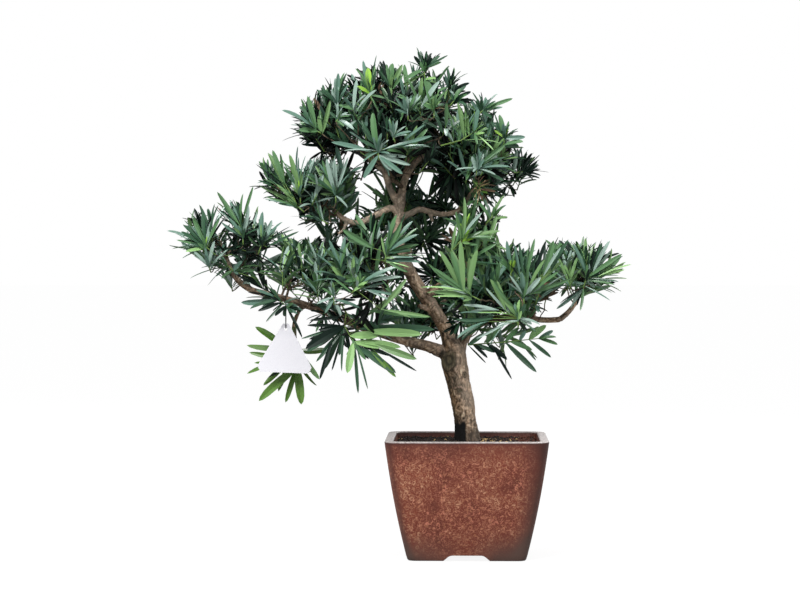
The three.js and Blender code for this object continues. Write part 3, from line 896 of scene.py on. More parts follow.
def foot_stain(place):
    """How dark the foot of the trunk is at a place, from 0 to 1: most on its left and in a ragged band low
    down.
    """
    x, _, z = place
    ragged = noise.noise(Vector(place) * 150)
    left = min(1.4, 0.5 + (0.1965 - z) / 0.006) + 0.7 * ragged - max(0.0, x - POT_X + 0.003) / 0.0025
    low = 0.7 + (0.194 - z) / 0.012 + 1.9 * noise.noise(Vector(place) * 290)
    return max(0.0, min(1.0, max(left, 0.68 * min(1.0, low))))


def press_scars(places, height, lift):
    """The lift of each place with the scars added, and how much scar and ring lies on each."""
    wobble = np.array([1 + 0.34 * noise.noise(Vector(p) * 120) for p in places])
    scarred, rings = np.zeros(len(places)), np.zeros(len(places))
    for centre, size, ring, hollow in SCARS:
        offset = (places - (np.array(centre) * MM + PLUMB)) * (1, 0.4, 0.84)
        gap = np.linalg.norm(offset, axis=1) / (size * MM) * wobble
        if ring > 0:
            lift = lift + MM * ring * 0.55 * np.exp(-(((gap - 1.0) / 0.33) ** 2))
            lift = lift - MM * hollow * np.exp(-(gap / 0.62) ** 4)
            scarred = np.maximum(scarred, np.exp(-(gap / 1.05) ** 8))
            for ring_at in (1.08, 0.5):
                rings = np.maximum(rings, np.exp(-(((gap - ring_at) / 0.15) ** 2)))
        else:
            lift = lift - MM * ring * np.exp(-gap ** 2) * (0.6 + 0.8 * height)
    return lift, scarred, rings


def carve_bark(mesh):
    """Pushes the bark's relief and the scars into the wood, and stores what the colours need."""
    noise.seed_set(BARK_SEED)
    places = np.empty(len(mesh.vertices) * 3, np.float32)
    normals = np.empty_like(places)
    mesh.vertices.foreach_get("co", places)
    mesh.vertices.foreach_get("normal", normals)
    places, normals = places.reshape(-1, 3).astype(float), normals.reshape(-1, 3).astype(float)
    owners, grain, radius = limb_coordinates(places)
    offsets = owners[:, None] * 0.37
    height = np.array([bark_height(row) for row in grain + offsets])
    swell = np.array([noise.noise(Vector(p) * 38) for p in places])
    depth = np.clip(radius * RELIEF_SHARE, RELIEF_LEAST, RELIEF_MOST)
    lift = height * depth + swell * radius * SWELL_SHARE
    lift, scarred, rings = press_scars(places, height, lift)
    places += normals * lift[:, None]
    mesh.vertices.foreach_set("co", places.astype(np.float32).ravel())
    mesh.update()
    store_values(mesh, "relief", np.clip(0.5 + 0.5 * height, 0, 1))
    store_values(mesh, "scar", scarred)
    store_values(mesh, "rings", rings)
    store_values(mesh, "limb", owners)
    store_values(mesh, "foot_dark", [foot_stain(place) if place[2] < FOOT_DARK_TOP else 0.0 for place in places])
    mesh.attributes.new("grain", "FLOAT_VECTOR", "POINT").data.foreach_set(
        "vector", (grain + offsets).astype(np.float32).ravel())


carve_bark(wood_mesh)
print("bark:", len(wood_mesh.vertices), "points carved")

# %% [markdown]
# The bark's colour follows its relief: dark in the cracks, pinkish tan on the strips, with grey fibres
# where it weathers. Low on the tree the side that faces left is painted darker, a painted shade, and the
# side that faces right paler, a painted light. The foot is near black on its left and in a ragged band low
# down, and the scars are dark.


# %% Bark colour
def make_bark():
    """Flaky tan bark with dark cracks, a near-black foot, painted shade on its left and painted light on
    its right.
    """
    bark = Finish("flaky_bark", tone(128, 104, 86), 0.85, Specular_IOR_Level=0.25)
    fibre = bark.cloud(bark.place((420, 420, 60), "grain"), 1.0, 4.0)
    strips = bark.ramp(bark.stored("relief"), (0.24, tone(46, 40, 34)), (0.41, tone(130, 115, 98)),
                       (0.57, tone(194, 174, 154)), (0.78, tone(242, 234, 220)))
    threads = bark.ramp(fibre, (0.36, tone(70, 61, 52)), (0.5, tone(152, 134, 116)),
                        (0.66, tone(216, 206, 190)))
    patch = bark.cloud(bark.place(), 46.0, 3.0)
    warm = bark.ramp(patch, (0.38, tone(88, 82, 72)), (0.5, tone(146, 132, 118)),
                     (0.62, tone(206, 184, 164)))
    wood = bark.mix(0.6, bark.mix(0.22, strips, threads), warm, "OVERLAY")
    limb = bark.times(bark.stored("limb"), 0.05)
    first_boughs = bark.greys(limb, (0.02, 0), (0.06, 1), (0.24, 1), (0.3, 0))
    wood = bark.mix(bark.times(first_boughs, 0.16), wood, tone(116, 98, 82), "MULTIPLY")
    high = bark.reach(bark.node("SeparateXYZ", Vector=bark.place()).outputs["Z"], 0.39, 0.47)
    wood = bark.mix(bark.times(high, 0.24), wood, tone(212, 202, 184))
    low = bark.times(1.0, high, "SUBTRACT")
    turned = bark.node("SeparateXYZ", Vector=bark.node("NewGeometry").outputs["Normal"]).outputs["X"]
    # The side that faces left, low on the tree, is painted darker: painted shade.
    damp_and_painted_shade = bark.times(bark.reach(turned, 0.2, -0.75), low)
    wood = bark.mix(damp_and_painted_shade, wood, tone(156, 150, 134), "MULTIPLY")
    # The side that faces right, low on the tree, is painted paler: painted light.
    painted_light_right = bark.times(bark.reach(turned, 0.0, 0.8), low)
    wood = bark.mix(bark.times(painted_light_right, 0.32), wood, tone(230, 208, 186))
    # Near black at the foot of the trunk, most on its left and in a ragged band low down.
    wood = bark.mix(bark.stored("foot_dark"), wood, tone(5, 5, 4))
    wood = bark.mix(bark.times(bark.stored("scar"), 0.7), wood, tone(82, 80, 62))
    bark.drive("Base Color", bark.mix(bark.times(bark.stored("rings"), 0.75), wood, tone(30, 27, 22)))
    bark.bump(fibre, 0.6, 0.0009)
    return bark.material


wood_mesh.materials.append(make_bark())
add_piece("trunk_and_boughs", wood_mesh, list(LIMBS))

# %% [markdown]
# ## Where foliage grows
# A podocarpus carries its leaves in whorls round the ends of its shoots, so the foliage is made of shoots.
# They stand on the outside of each mass, a little apart, and point outwards and up. A few more grow
# inside, in the shade. Some large sprays that give the tree its character are placed one by one.

# %% The view, and shoots in it
PICTURE_MIDDLE_COLUMN, PICTURE_LEVEL_ROW = 466.8, 260.0
FOCAL_PIXELS = 2517.0


def in_view(column, row, depth):
    """The place that shows at a picture's column and row, so many millimetres behind the trunk's plane."""
    scale = (CAMERA_DISTANCE + depth * MM) / FOCAL_PIXELS
    x = POT_X + (column - PICTURE_MIDDLE_COLUMN) * scale
    z = CAMERA_HEIGHT + (PICTURE_LEVEL_ROW - row) * scale
    return np.array([x, POT_Y + depth * MM, z])


def picture_place(places):
    """The picture's column and row at which places show."""
    scale = FOCAL_PIXELS / (CAMERA_DISTANCE + places[..., 1] - POT_Y)
    column = PICTURE_MIDDLE_COLUMN + (places[..., 0] - POT_X) * scale
    row = PICTURE_LEVEL_ROW - (places[..., 2] - CAMERA_HEIGHT) * scale
    return np.stack([column, row], -1)


class Shoot:
    """A leafy shoot: the end of its stem, its way, how long stem and leaves are, and its look."""

    def __init__(self, tip, way, mass, leaf=0.042, leaves=19, stem=0.03, mix="pad", wide=64, close=12,
                 droop=0.0, broad=1.0, placed=False):
        self.tip = np.array(tip, float)
        self.way = np.array(way, float) / np.linalg.norm(way)
        self.mass, self.leaf, self.leaves, self.stem = mass, leaf, leaves, stem
        self.mix, self.wide, self.close, self.droop = mix, wide, close, droop
        self.broad, self.placed = broad, placed
        self.base = self.tip - self.way * self.stem


print("view: the trunk's plane is", CAMERA_DISTANCE, "m off,", FOCAL_PIXELS / CAMERA_DISTANCE, "px to 1 m")


# %% The look of each mass
class Look:
    """How the shoots of a mass grow."""

    def __init__(self, piece, leaf=0.043, apart=0.027, mix="pad", up=0.75, droop=0.05, leaves=19):
        self.piece, self.leaf, self.apart, self.mix = piece, leaf, apart, mix
        self.up, self.droop, self.leaves = up, droop, leaves


MASSES = {
    "crown_top": Look("leaves_crown_upper", leaf=0.039, apart=0.0235, mix="crown"),
    "crown_tuft": Look("leaves_crown_upper", leaf=0.038, apart=0.022, mix="crown", up=1.2),
    "crown_left": Look("leaves_crown_upper", leaf=0.04, apart=0.0235, mix="crown"),
    "crown_right": Look("leaves_crown_right", leaf=0.04, apart=0.0235, mix="side"),
    "crown_front": Look("leaves_crown_front", leaf=0.042, apart=0.0245, mix="hollow"),
    "crown_back": Look("leaves_crown_right", leaf=0.04, apart=0.0245, mix="crown"),
    "upper_right_pad": Look("leaves_crown_front", mix="shade", up=0.3),
    "upper_left_pad": Look("leaves_upper_pads", leaf=0.04, apart=0.0245, mix="silver"),
    "back_middle_pad": Look("leaves_upper_pads"),
    "right_middle_pad": Look("leaves_upper_pads", leaf=0.041, apart=0.0255, mix="bright"),
    "outer_left_pad": Look("leaves_left_pads", leaf=0.041, apart=0.0255, mix="silver"),
    "inner_left_pad": Look("leaves_left_pads", leaf=0.042, apart=0.0255, mix="middle"),
    "back_left_pad": Look("leaves_back_pads"),
    "front_pad": Look("leaves_middle_pads", leaf=0.048, mix="middle", up=0.5),
    "back_low_pad": Look("leaves_back_pads"),
    "back_right_pad": Look("leaves_back_pads"),
    "right_inner_pad": Look("leaves_right_pads", leaf=0.043, apart=0.0255, mix="right"),
    "right_outer_pad": Look("leaves_right_pads", leaf=0.042, mix="right"),
    "low_middle_spray": Look("leaves_young", leaf=0.064, apart=0.044, mix="fresh", up=-0.35,
                             droop=0.5, leaves=11),
    "low_left_spray": Look("leaves_young", leaf=0.068, apart=0.046, mix="olive", up=-0.7,
                           droop=0.35, leaves=9),
    "low_right_spray": Look("leaves_young", leaf=0.056, apart=0.04, mix="bright", up=-0.1,
                            droop=0.6, leaves=12),
}


def mass_shape(name):
    """A mass's vertices and triangles as arrays."""
    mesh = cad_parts[name].data
    mesh.calc_loop_triangles()
    places = np.array([vertex.co for vertex in mesh.vertices])
    return places, np.array([triangle.vertices[:] for triangle in mesh.loop_triangles])


mass_shapes = {name: mass_shape(name) for name in MASSES}
mass_trees = {name: BVHTree.FromPolygons(p.tolist(), t.tolist()) for name, (p, t) in mass_shapes.items()}
print("masses:", len(mass_shapes))

# %% [markdown]
# Sky shows through the tree in a number of gaps. Each is an ellipse in the picture, given by its left,
# top, right and bottom. The stretches of limb that stay bare are given as shares of their length.

# %% Sky and bare wood
SKY = {
    "under the crown, left": [
        (348, 140, 366, 148), (346, 156, 362, 167), (361, 195, 376, 208), (338, 153, 351, 164),
        (369, 174, 385, 188)],
    "under the crown, right": [
        (418, 171, 434, 192), (424, 168, 433, 177), (407, 181, 413, 192), (431, 127, 441, 136)],
    "by the middle boughs": [(335, 236, 346, 244)],
    "left of the front": [
        (289, 291, 309, 299), (303, 311, 322, 322), (300, 254, 309, 267), (264, 247, 282, 261),
        (268, 279, 281, 288)],
    "round the left pads": [
        (272, 205, 298, 230), (214, 222, 226, 232), (280, 146, 309, 166), (240, 190, 258, 214),
        (256, 206, 284, 221), (284, 229, 316, 236), (305, 224, 324, 235), (300, 144, 320, 157),
        (240, 160, 259, 186), (160, 206, 181, 229), (178, 204, 192, 217)],
    "under the outer left": [(170, 256, 206, 292), (186, 280, 222, 312), (216, 292, 252, 330)],
    "right of the crown": [
        (508, 200, 545, 238), (500, 222, 522, 238), (498, 224, 512, 246), (566, 222, 582, 241),
        (520, 181, 560, 202), (497, 108, 520, 125)],
    "round the tuft": [(404, 68, 413, 78), (433, 66, 443, 75), (296, 76, 318, 94), (284, 90, 300, 103)],
    "under the right pads": [
        (550, 303, 567, 312), (500, 324, 514, 333), (596, 298, 640, 330), (616, 274, 648, 306),
        (572, 302, 600, 332), (590, 292, 606, 302)],
    "by the low bough": [(430, 340, 441, 349)],
    "by the tie": [(291, 312, 306, 328), (262, 311, 277, 325)],
}
BARE = {
    "trunk": [(0.0, 0.7), (0.93, 1.0)], "low_left_bough_inner": [(0.0, 0.28), (0.7, 1.0)],
    "low_right_bough_inner": [(0.0, 0.16), (0.78, 1.0)], "low_right_bough_outer": [(0.0, 0.4)],
    "mid_left_bough": [(0.0, 0.85)], "mid_right_bough": [(0.0, 0.66)],
    "low_left_bough_outer": [(0.0, 0.35)], "top_left_stem": [(0.0, 0.66)], "top_right_stem": [(0.0, 0.72)],
}
BARE_MARGIN = 0.0015
VIEW_BLOCK = 8000


def bare_wood():
    """Points of the limbs that nothing hides, with their radius."""
    rows = []
    for name, stretches in BARE.items():
        line = limb_lines[name]
        for start, end in stretches:
            rows.append(line[int(start * len(line)):max(int(end * len(line)), 1)])
    return np.vstack(rows) + [0, 0, 0, BARE_MARGIN]


bare = bare_wood()


def shows_sky(places):
    """Which places lie in one of the gaps where sky shows."""
    seen = picture_place(places)
    hit = np.zeros(seen.shape[:-1], bool)
    for left, top, right, bottom in sum(SKY.values(), []):
        across = (seen[..., 0] - (left + right) / 2) / ((right - left) / 2)
        down = (seen[..., 1] - (top + bottom) / 2) / ((bottom - top) / 2)
        hit |= across ** 2 + down ** 2 < 1
    return hit


def hides(places, shown):
    """Which places lie in front of something that shows, given as rows of x, y, z and radius."""
    seen, spots = picture_place(places), picture_place(shown[:, :3])
    reach = shown[:, 3] * FOCAL_PIXELS / CAMERA_DISTANCE
    hit = np.zeros(len(places), bool)
    for start in range(0, len(places), VIEW_BLOCK):
        block = slice(start, start + VIEW_BLOCK)
        near = np.abs(seen[block, None, 0] - spots[None, :, 0]) < reach[None]
        near &= np.abs(seen[block, None, 1] - spots[None, :, 1]) < reach[None]
        hit[block] = (near & (places[block, None, 1] < shown[None, :, 1])).any(1)
    return hit


print("sky:", sum(len(gaps) for gaps in SKY.values()), "gaps; bare wood:", len(bare), "points")

# %% [markdown]
# The placed sprays are listed by where they show (column and row), how deep they stand in millimetres,
# the way that they point and their mass. The rest are drawn at random on the masses, and kept only where
# there is room between those already there.


# %% Placed sprays
def spray(column, row, depth, way, mass, leaves=15, **look):
    """A shoot placed by where its whorl shows."""
    return Shoot(in_view(column, row, depth), way, mass, leaves=leaves, placed=True, **look)


SPRAYS = {
    "crown, above the middle": spray(420, 102, -110, (0, -0.8, 0.9), "crown_top", leaf=0.044, mix="crown"),
    "crown, in the middle": spray(446, 126, -135, (0.2, -1, 0.5), "crown_front", leaf=0.046, mix="crown"),
    "crown, left of the middle": spray(
        352, 108, -120, (-0.3, -0.8, 0.7), "crown_front", leaf=0.044, mix="sea"),
    "front, between the fans": spray(340, 268, -120, (-0.15, -0.6, 1), "front_pad", leaf=0.05, mix="light"),
    "front, behind the fans": spray(
        372, 240, -110, (-0.2, -0.5, 1), "front_pad", leaf=0.05, leaves=14, mix="pine"),
    "inner left, above": spray(
        304, 264, -55, (0.05, -0.4, 1), "inner_left_pad", leaf=0.044, leaves=14, mix="pine"),
    "inner left, middle": spray(
        318, 262, -90, (0, -0.5, 1), "inner_left_pad", leaf=0.04, leaves=16, mix="light"),
    "inner left, lower": spray(
        316, 286, -100, (-0.1, -0.7, 0.9), "inner_left_pad", leaf=0.042, mix="light"),
    "right, by the hub": spray(540, 290, -90, (0.3, -0.5, 1), "right_inner_pad", leaf=0.046, mix="light"),
    "far right, upper": spray(
        604, 276, -20, (0.85, -0.35, 0.6), "right_outer_pad", leaf=0.044, mix="light"),
    "far right, inner": spray(566, 272, -40, (-0.1, -0.5, 1), "right_outer_pad", leaf=0.044, mix="light"),
    "behind the tag, back": spray(
        292, 358, 52, (-0.3, 0.7, -0.9), "low_left_spray", leaf=0.066, leaves=9, mix="olive", wide=70,
        close=24, broad=1.2),
    "low middle, back": spray(
        340, 334, -30, (-0.4, 0.8, -0.7), "low_middle_spray", leaf=0.056, leaves=10, mix="dark"),
    "low middle, above": spray(
        352, 322, -70, (0.3, 0.1, -0.5), "low_middle_spray", leaf=0.05, leaves=10, mix="dark"),
    "low right, back": spray(
        512, 336, 6, (0.8, 0.8, 0.0), "low_right_spray", leaf=0.05, leaves=12, mix="bright", droop=0.4,
        stem=0.045),
}
print("placed sprays:", len(SPRAYS))

# %% [markdown]
# Where the tree's character shows most, each leaf of a shoot is set one by one: the pale star in front of
# the crown, the tuft on top, the hands of long leaves at the right, the rosettes at both ends and the young
# shoots that hang below. Each is a short stem, given by where it shows and how deep it stands. Six words
# set a leaf: the column and row of its base, those of its tip, its width in millimetres and its colour.

# %% Sprays set leaf by leaf
FAN_DEPTH = 0.005
FAN_LEAF_MOST, YOUNG_LEAF_MOST = 0.052, 0.066
SHOOT_RADIUS = 0.00085
STALK_LEAST = 0.0015
CROWN_SLIM, PAD_SLIM, NEIGHBOUR_SLIM = 0.84, 0.74, 0.85
HEART_LEAVES, HEART_HALF_WIDTH = 7, 0.0021
DARKER = {"lime": "leaf", "pale": "grass", "grass": "leaf", "ice": "sea", "sea": "pine", "leaf": "pine",
          "pine": "deep", "deep": "shade", "shade": "shade", "olive": "olive", "tan": "brown",
          "brown": "brown"}
fan_draw = np.random.default_rng(41)


class Fan(Shoot):
    """A shoot whose leaves are set one by one where they show, each with its width in millimetres."""

    def __init__(self, mass, depth, stem, leaves):
        self.line = np.array([in_view(column, row, depth) for column, row in stem])
        super().__init__(self.line[-1], self.line[-1] - self.line[0], mass, placed=True)
        self.base = self.line[0]
        rows = np.reshape(leaves.split(), (-1, 6))
        shown = rows[:, :5].astype(float)
        ends = np.array([(*in_view(*row[:2], depth), *in_view(*row[2:4], depth)) for row in shown])
        self.roots, self.tips = ends[:, :3], ends[:, 3:]
        near = fan_draw.uniform(-FAN_DEPTH, FAN_DEPTH, len(rows))
        self.roots[:, 1] += near
        self.tips[:, 1] += near - FAN_DEPTH * fan_draw.uniform(-0.5, 2.5, len(rows))
        self.widths = shown[:, 4] * MM * self.slim() / 2
        self.names = [str(name) for name in rows[:, 5]]
        self.pull_to_stem()
        self.given = len(rows)
        if self.slim() < 1:
            self.add_neighbours()
            self.add_heart()

    def slim(self):
        """How much slimmer the leaves are than they show. In the sun their neighbours add to them."""
        if self.mass.startswith("low_"):
            return 1.0
        return CROWN_SLIM if self.mass.startswith("crown_") else PAD_SLIM

    def add(self, roots, tips, widths, names):
        """Adds leaves that start where they join the shoot."""
        self.roots, self.tips = np.vstack([self.roots, roots]), np.vstack([self.tips, tips])
        self.joints = np.vstack([self.joints, roots])
        self.widths = np.concatenate([self.widths, widths])
        self.names = self.names + names

    def add_neighbours(self):
        """Sets another leaf beside and behind each one, as leaves stand all round a stem."""
        count = len(self.names)
        side = fan_draw.choice([-1, 1], count) * fan_draw.uniform(0.08, 0.5, count)
        chord = self.tips - self.roots
        turned = chord.copy()
        turned[:, 0] = chord[:, 0] * np.cos(side) - chord[:, 2] * np.sin(side)
        turned[:, 2] = chord[:, 0] * np.sin(side) + chord[:, 2] * np.cos(side)
        roots = self.roots + fan_draw.uniform(0.004, 0.016, count)[:, None] * (0, 1, 0)
        tips = roots + turned * fan_draw.uniform(0.5, 0.98, (count, 1))
        stay = ~(shows_sky(tips) | shows_sky((roots + tips) / 2))
        chance = fan_draw.random(count) * (1 if self.mass.startswith("crown_") else 2)
        # A leaf set behind another often takes a darker colour, sometimes twice over: painted shade.
        dimmed = [DARKER[name] if luck < 0.8 else name for name, luck in zip(self.names, chance)]
        dimmed = [DARKER[name] if luck < 0.2 else name for name, luck in zip(dimmed, chance)]
        names = [name for name, stays in zip(dimmed, stay) if stays]
        self.add(roots[stay], tips[stay], self.widths[stay] * NEIGHBOUR_SLIM, names)

    def add_heart(self):
        """Sets a few short young leaves at the end of the stem, pointing on and forward."""
        count = HEART_LEAVES
        aim = self.line[-1] - self.line[0]
        aim = aim / np.linalg.norm(aim) + (0, -0.5, 0.2) + fan_draw.normal(0, 0.42, (count, 3))
        roots = self.line[-1] - fan_draw.uniform(0, 0.006, (count, 1)) * (0, 0, 1)
        tips = roots + unit(aim) * fan_draw.uniform(0.016, 0.03, (count, 1))
        names = [self.names[k] for k in fan_draw.integers(0, self.given, count)]
        self.add(roots, tips, np.full(count, HEART_HALF_WIDTH), names)

    def pull_to_stem(self):
        """Lengthens each leaf back to the stem, as far as a leaf of this kind may be long."""
        share = np.linspace(0, 1, 9)[:, None]
        along = np.vstack([a + share * (b - a) for a, b in zip(self.line, self.line[1:])])
        gaps = along[None] - self.roots[:, None]
        nearest = np.linalg.norm(gaps, axis=2).argmin(1)
        self.joints = along[nearest]
        back = self.joints - self.roots
        length = np.linalg.norm(self.tips - self.roots, axis=1)
        whole = np.linalg.norm(self.tips - self.joints, axis=1)
        most = YOUNG_LEAF_MOST if self.slim() == 1 else FAN_LEAF_MOST
        part = np.where(whole > most, (most - length) / np.maximum(whole - length, 1e-4), 1.0)
        self.roots = self.roots + np.clip(part, 0, 1)[:, None] * back

    def stalks(self):
        """A thin line from the stem to each leaf that starts away from it."""
        gaps = np.linalg.norm(self.roots - self.joints, axis=1)
        thick = SHOOT_RADIUS * np.array([0.6, 0.5])
        return [(np.array([joint, root]), thick)
                for joint, root, gap in zip(self.joints, self.roots, gaps) if gap > STALK_LEAST]

    def leaf_rows(self, draw):
        """The base, way, face, length, width, bend, twist and colour of each leaf."""
        count = len(self.names)
        chord = self.tips - self.roots
        reach = np.linalg.norm(chord, axis=1)
        chord = chord / reach[:, None]
        young = self.slim() == 1
        ahead, uneven = ((0, -1, 0.25), 0.15) if young else ((0, -0.8, 0.6), 0.42)
        face = ahead + draw.normal(0, uneven, (count, 3))
        face = unit(face - chord * np.einsum("ij,ij->i", face, chord)[:, None])
        half = draw.uniform(0.08, 0.24, count)
        way = np.cos(half)[:, None] * chord + np.sin(half)[:, None] * face
        face = np.cos(half)[:, None] * face - np.sin(half)[:, None] * chord
        length, twist = reach * half / np.sin(half), draw.normal(0, 0.2, count)
        tones = np.array([TONE_ORDER.index(name) for name in self.names])
        return self.roots, way, face, length, self.widths, 2 * half, twist, tones

    def shown(self):
        """Rows of x, y, z and radius along the leaves, which other leaves must not hide."""
        share = np.array([0.3, 0.55, 0.8, 1.0])[None, :, None]
        roots, tips = self.roots[:self.given], self.tips[:self.given]
        spots = roots[:, None] + share * (tips - roots)[:, None]
        spots[..., 1] += 0.004
        wide = np.repeat(self.widths[:self.given] * 0.7 + 0.0006, 4)
        return np.hstack([spots.reshape(-1, 3), wide[:, None]])


print("leaf by leaf: a leaf is at most", FAN_LEAF_MOST, "m long, a young one", YOUNG_LEAF_MOST)

# %% The crown and its tufts, leaf by leaf
FANS = {
    "front star": Fan("crown_front", -158, [(379, 160), (378, 150)], """
        372 152 331 142 8 sea  371 152 344 151 4 ice  375 153 363 162.5 8 sea  376 155 363.5 178.5 9 sea
        380.5 155 392 171 8.5 ice  382 156 403 174.5 8 sea  383 155 410.5 165 7.5 ice
        380 152 391 154.5 5 sea  382 150.5 425 140 6 sea  405 145 432 136.5 6 sea
        400 146.5 426 145.5 4 sea  382 148.5 389 140 5 ice  381 147 385.5 138.5 5 sea
        379 147 382 133.5 7 sea  376 147 373 112.5 11 leaf  375 148 356.5 119 6 pine
        373.5 148.5 359.5 140 6 pine"""),
    "front left leaf": Fan("crown_front", -160, [(336, 122), (338, 119)], """
        339 118.5 354 130 8 ice  336 120 344 127 6 leaf  340 121 330 112 5 pine"""),
    "front small bright": Fan("crown_front", -166, [(395, 142), (393, 136.5)], """
        394 136 406 126.5 5 ice  395 136 411.5 132 5 sea  395 137 408 135.5 3 ice
        393 135 395 128.5 7 leaf  392 135 390 128 7 leaf  391 136 382 126.5 5 sea"""),
    "crown blue sheen": Fan("crown_front", -158, [(408, 120), (408, 113)], """
        407 113 387 100.5 5 leaf  407 112 396 98 6 sea  408 112 404 98 7 sea  408.5 112 411 98 7 ice
        409 112 418 94 5 ice  409 112.5 421 95 4 ice  409 113 421 102.5 4 leaf  407 114 395 110 4 sea"""),
    "crown centre bright": Fan("crown_front", -150, [(434, 118), (434, 109.5)], """
        434 109 434 98 5 grass  434.5 109 444.5 92 4.5 leaf  433 109 425.5 103 4 grass
        433 110 423 105 7 leaf  435 110 445 109.5 3 tan  433 110 412 124 3 leaf  434 110 428 97 6 leaf"""),
    "crown left lower": Fan("crown_left", -60, [(322, 134), (316, 130)], """
        312 126 282 110.5 10 sea  314.5 117 302.5 98.5 7 deep  313 123 303 112 7 pine
        320 110 307.5 96 9 leaf  309 136.5 292 134.5 3 deep  311 128 291 117 10 sea
        316 134.5 299 130.5 9 leaf  311 141.5 282 141.5 3 deep  310 141 299 143.5 2.5 deep
        326 136 321.5 113 6 leaf  324 135.5 318.5 116 7 grass  329 135.5 329 110.5 5 leaf
        334 117.5 330.5 101 7 grass"""),
    "crown left upper": Fan("crown_left", -50, [(338, 112), (337, 104)], """
        327 103.5 319.5 90.5 5 pine  330 102 323.5 89.5 6 pine  335 83 324.5 77 2.5 deep
        335 82.5 330 78 3 deep  337.5 104 338.5 73.5 8 sea  334 101 335.5 78.5 9 ice
        340 91 347 73 7 pine  365 84.5 345 73 7 leaf  335.5 108.5 356 87.5 4 grass
        335.5 108 359.5 92.5 4 ice  341 105 349 85 5 sea"""),
    "crown lime": Fan("crown_left", -110, [(372, 101), (370, 93)], """
        366 85.5 355.5 69 8 leaf  366 82 363 60.5 7 sea  372 68 377 56 2.5 pine  370 93.5 368 68 11 lime
        370.5 94.5 358 87 8 lime  372 80 372 67 5 grass  369 96 379 113 3 leaf"""),
    "crown top left": Fan("crown_top", -40, [(391, 98), (391, 88)], """
        381 77 383 60.5 7 deep  391 87 392.5 63.5 12 leaf  389 77 386.5 64.5 5 leaf
        401.5 82 402.5 65 8 grass  390.5 108 390.5 86 6 grass  398 90 397 78 6 sea
        384 88 378 70 5 pine"""),
    "top tuft": Fan("crown_tuft", -4, [(425, 80), (424, 69.5)], """
        423 63 416.5 47.5 3 pine  423 68 420.5 51 6 pine  421 62 417 52 4 deep  421 67.5 414 56.5 6 deep
        419 69.5 407.5 62.5 5 pine  425 69 426 58 6 leaf  427 67.5 432 53.5 8 deep  428 67 440 56 8 pine
        433 63 448 56 4 pine  428 69 441.5 62.5 6 leaf  417 74 400.5 87.5 5 grass
        416 70 405 80.5 8 leaf  425.5 77.5 431.5 97.5 12 leaf  419 77.5 429.5 99.5 7 leaf
        436.5 88 436 79.5 6 pale"""),
    "right tuft": Fan("crown_top", -10, [(449, 98), (448.5, 88)], """
        446 81 442.5 71 3 pine  449 82 447 67.5 6 pine  451 82 454 68 6 leaf  452 84 461 71 6 leaf
        453 84 468 74 4 pine  452 88 460.5 79 3 deep  447 82 437.5 93 8 leaf  449 88 445 100 6 grass
        465 93 469.5 83.5 7 deep  459 94.5 462.5 86 6 deep  450 89 456 100 5 sea"""),
}
print("leaf by leaf:", len(FANS), "sprays")

# %% The right of the crown, leaf by leaf
FANS |= {
    "right lime shoot": Fan("crown_right", -112, [(440.5, 146), (461, 140.5), (474, 132.5)], """
        471.5 131.5 474 111.5 5 lime  463 137 463.5 106 4 pale  473.5 127 478 109.5 9 sea
        466.5 133 468 115 7 grass  475 131.5 482 121.5 6 grass  451 130 448.5 112 4 leaf
        454 140.5 445.5 128.5 4 ice  464.5 140.5 501 144 4 grass  458 139 461 124 7 leaf
        482 145 493.5 151 3 pale  482.5 152 483 124.5 6 pine  461 141 452 126 7 leaf
        454.5 121.5 457.5 103 7 grass  455 121.5 461 110 4 pale  470 134 458 120 6 leaf"""),
    "right upper": Fan("crown_right", -50, [(478, 116), (483, 110)], """
        482 104.5 497.5 94.5 8 ice  487.5 112.5 512.5 99 7 leaf  487.5 107.5 502.5 108 5 sea
        466 97 472 93 4 pine  470 101 478.5 95 6 sea  478 112 470 100 6 sea  483 113 492 119 6 pine"""),
    "right yellow heart": Fan("crown_right", -60, [(503, 146), (504.5, 137.5)], """
        496 124 494 113 3 pine  497.5 137 499 115 9 leaf  501 138 503 124 7 sea
        506 133 509.5 125 5 pine  508 134 518 129 4 pine  506 138.5 525 137.5 8 sea
        499.5 146.5 523 142.5 12 leaf  504.5 138 508 128.5 4 lime  488.5 132.5 487.5 122.5 4 pine
        492 133 491 123 3 pine"""),
    "right far tip": Fan("upper_right_pad", -20, [(514, 173), (522.5, 172)], """
        524 171 536 170 4 deep  535 170 549 173 4 deep  524 173 540.5 176 5 deep
        523 171 524.5 156 5 deep  524 170.5 532 157.5 7 deep  525 171 535.5 163.5 5 deep
        523.5 166 520.5 148 3 deep  516 158 528 150 5 pine  527 157 539.5 155 2.5 deep
        527 157 539 160 2.5 deep  506 158 516.5 150 8 ice"""),
    "right dark gloss": Fan("crown_right", -110, [(476, 176), (477, 168.5)], """
        447 149.5 472.5 167 7 ice  444 149.5 455 170.5 6 ice  452.5 162 473 172.5 5 ice
        478 168 510 167 7 sea  478 169 495.5 175 5 ice  477.5 167 478 148 7 sea  477 167 472 156.5 7 ice
        478.5 166 505 144.5 9 leaf  479 167 503 149.5 8 sea  479 168 506 158 7 pine"""),
    "right of the gap": Fan("crown_right", -30, [(462, 166), (453, 171)], """
        453 172 435 178 7 deep  453 172 433 188 7 shade  453 173 439 199 7 deep  453 173 447 203 7 deep
        454 173 455 201 8 pine  453 171 438 165 7 deep  453 170 442 157 7 shade  455 173 463 199 7 deep
        453 172 436 183 5 pine  454 171 462 190 8 shade  452 174 443 190 6 pine  453 173 431 193 6 deep
        450 177 436 197 7 deep"""),
}
print("leaf by leaf:", len(FANS), "sprays")

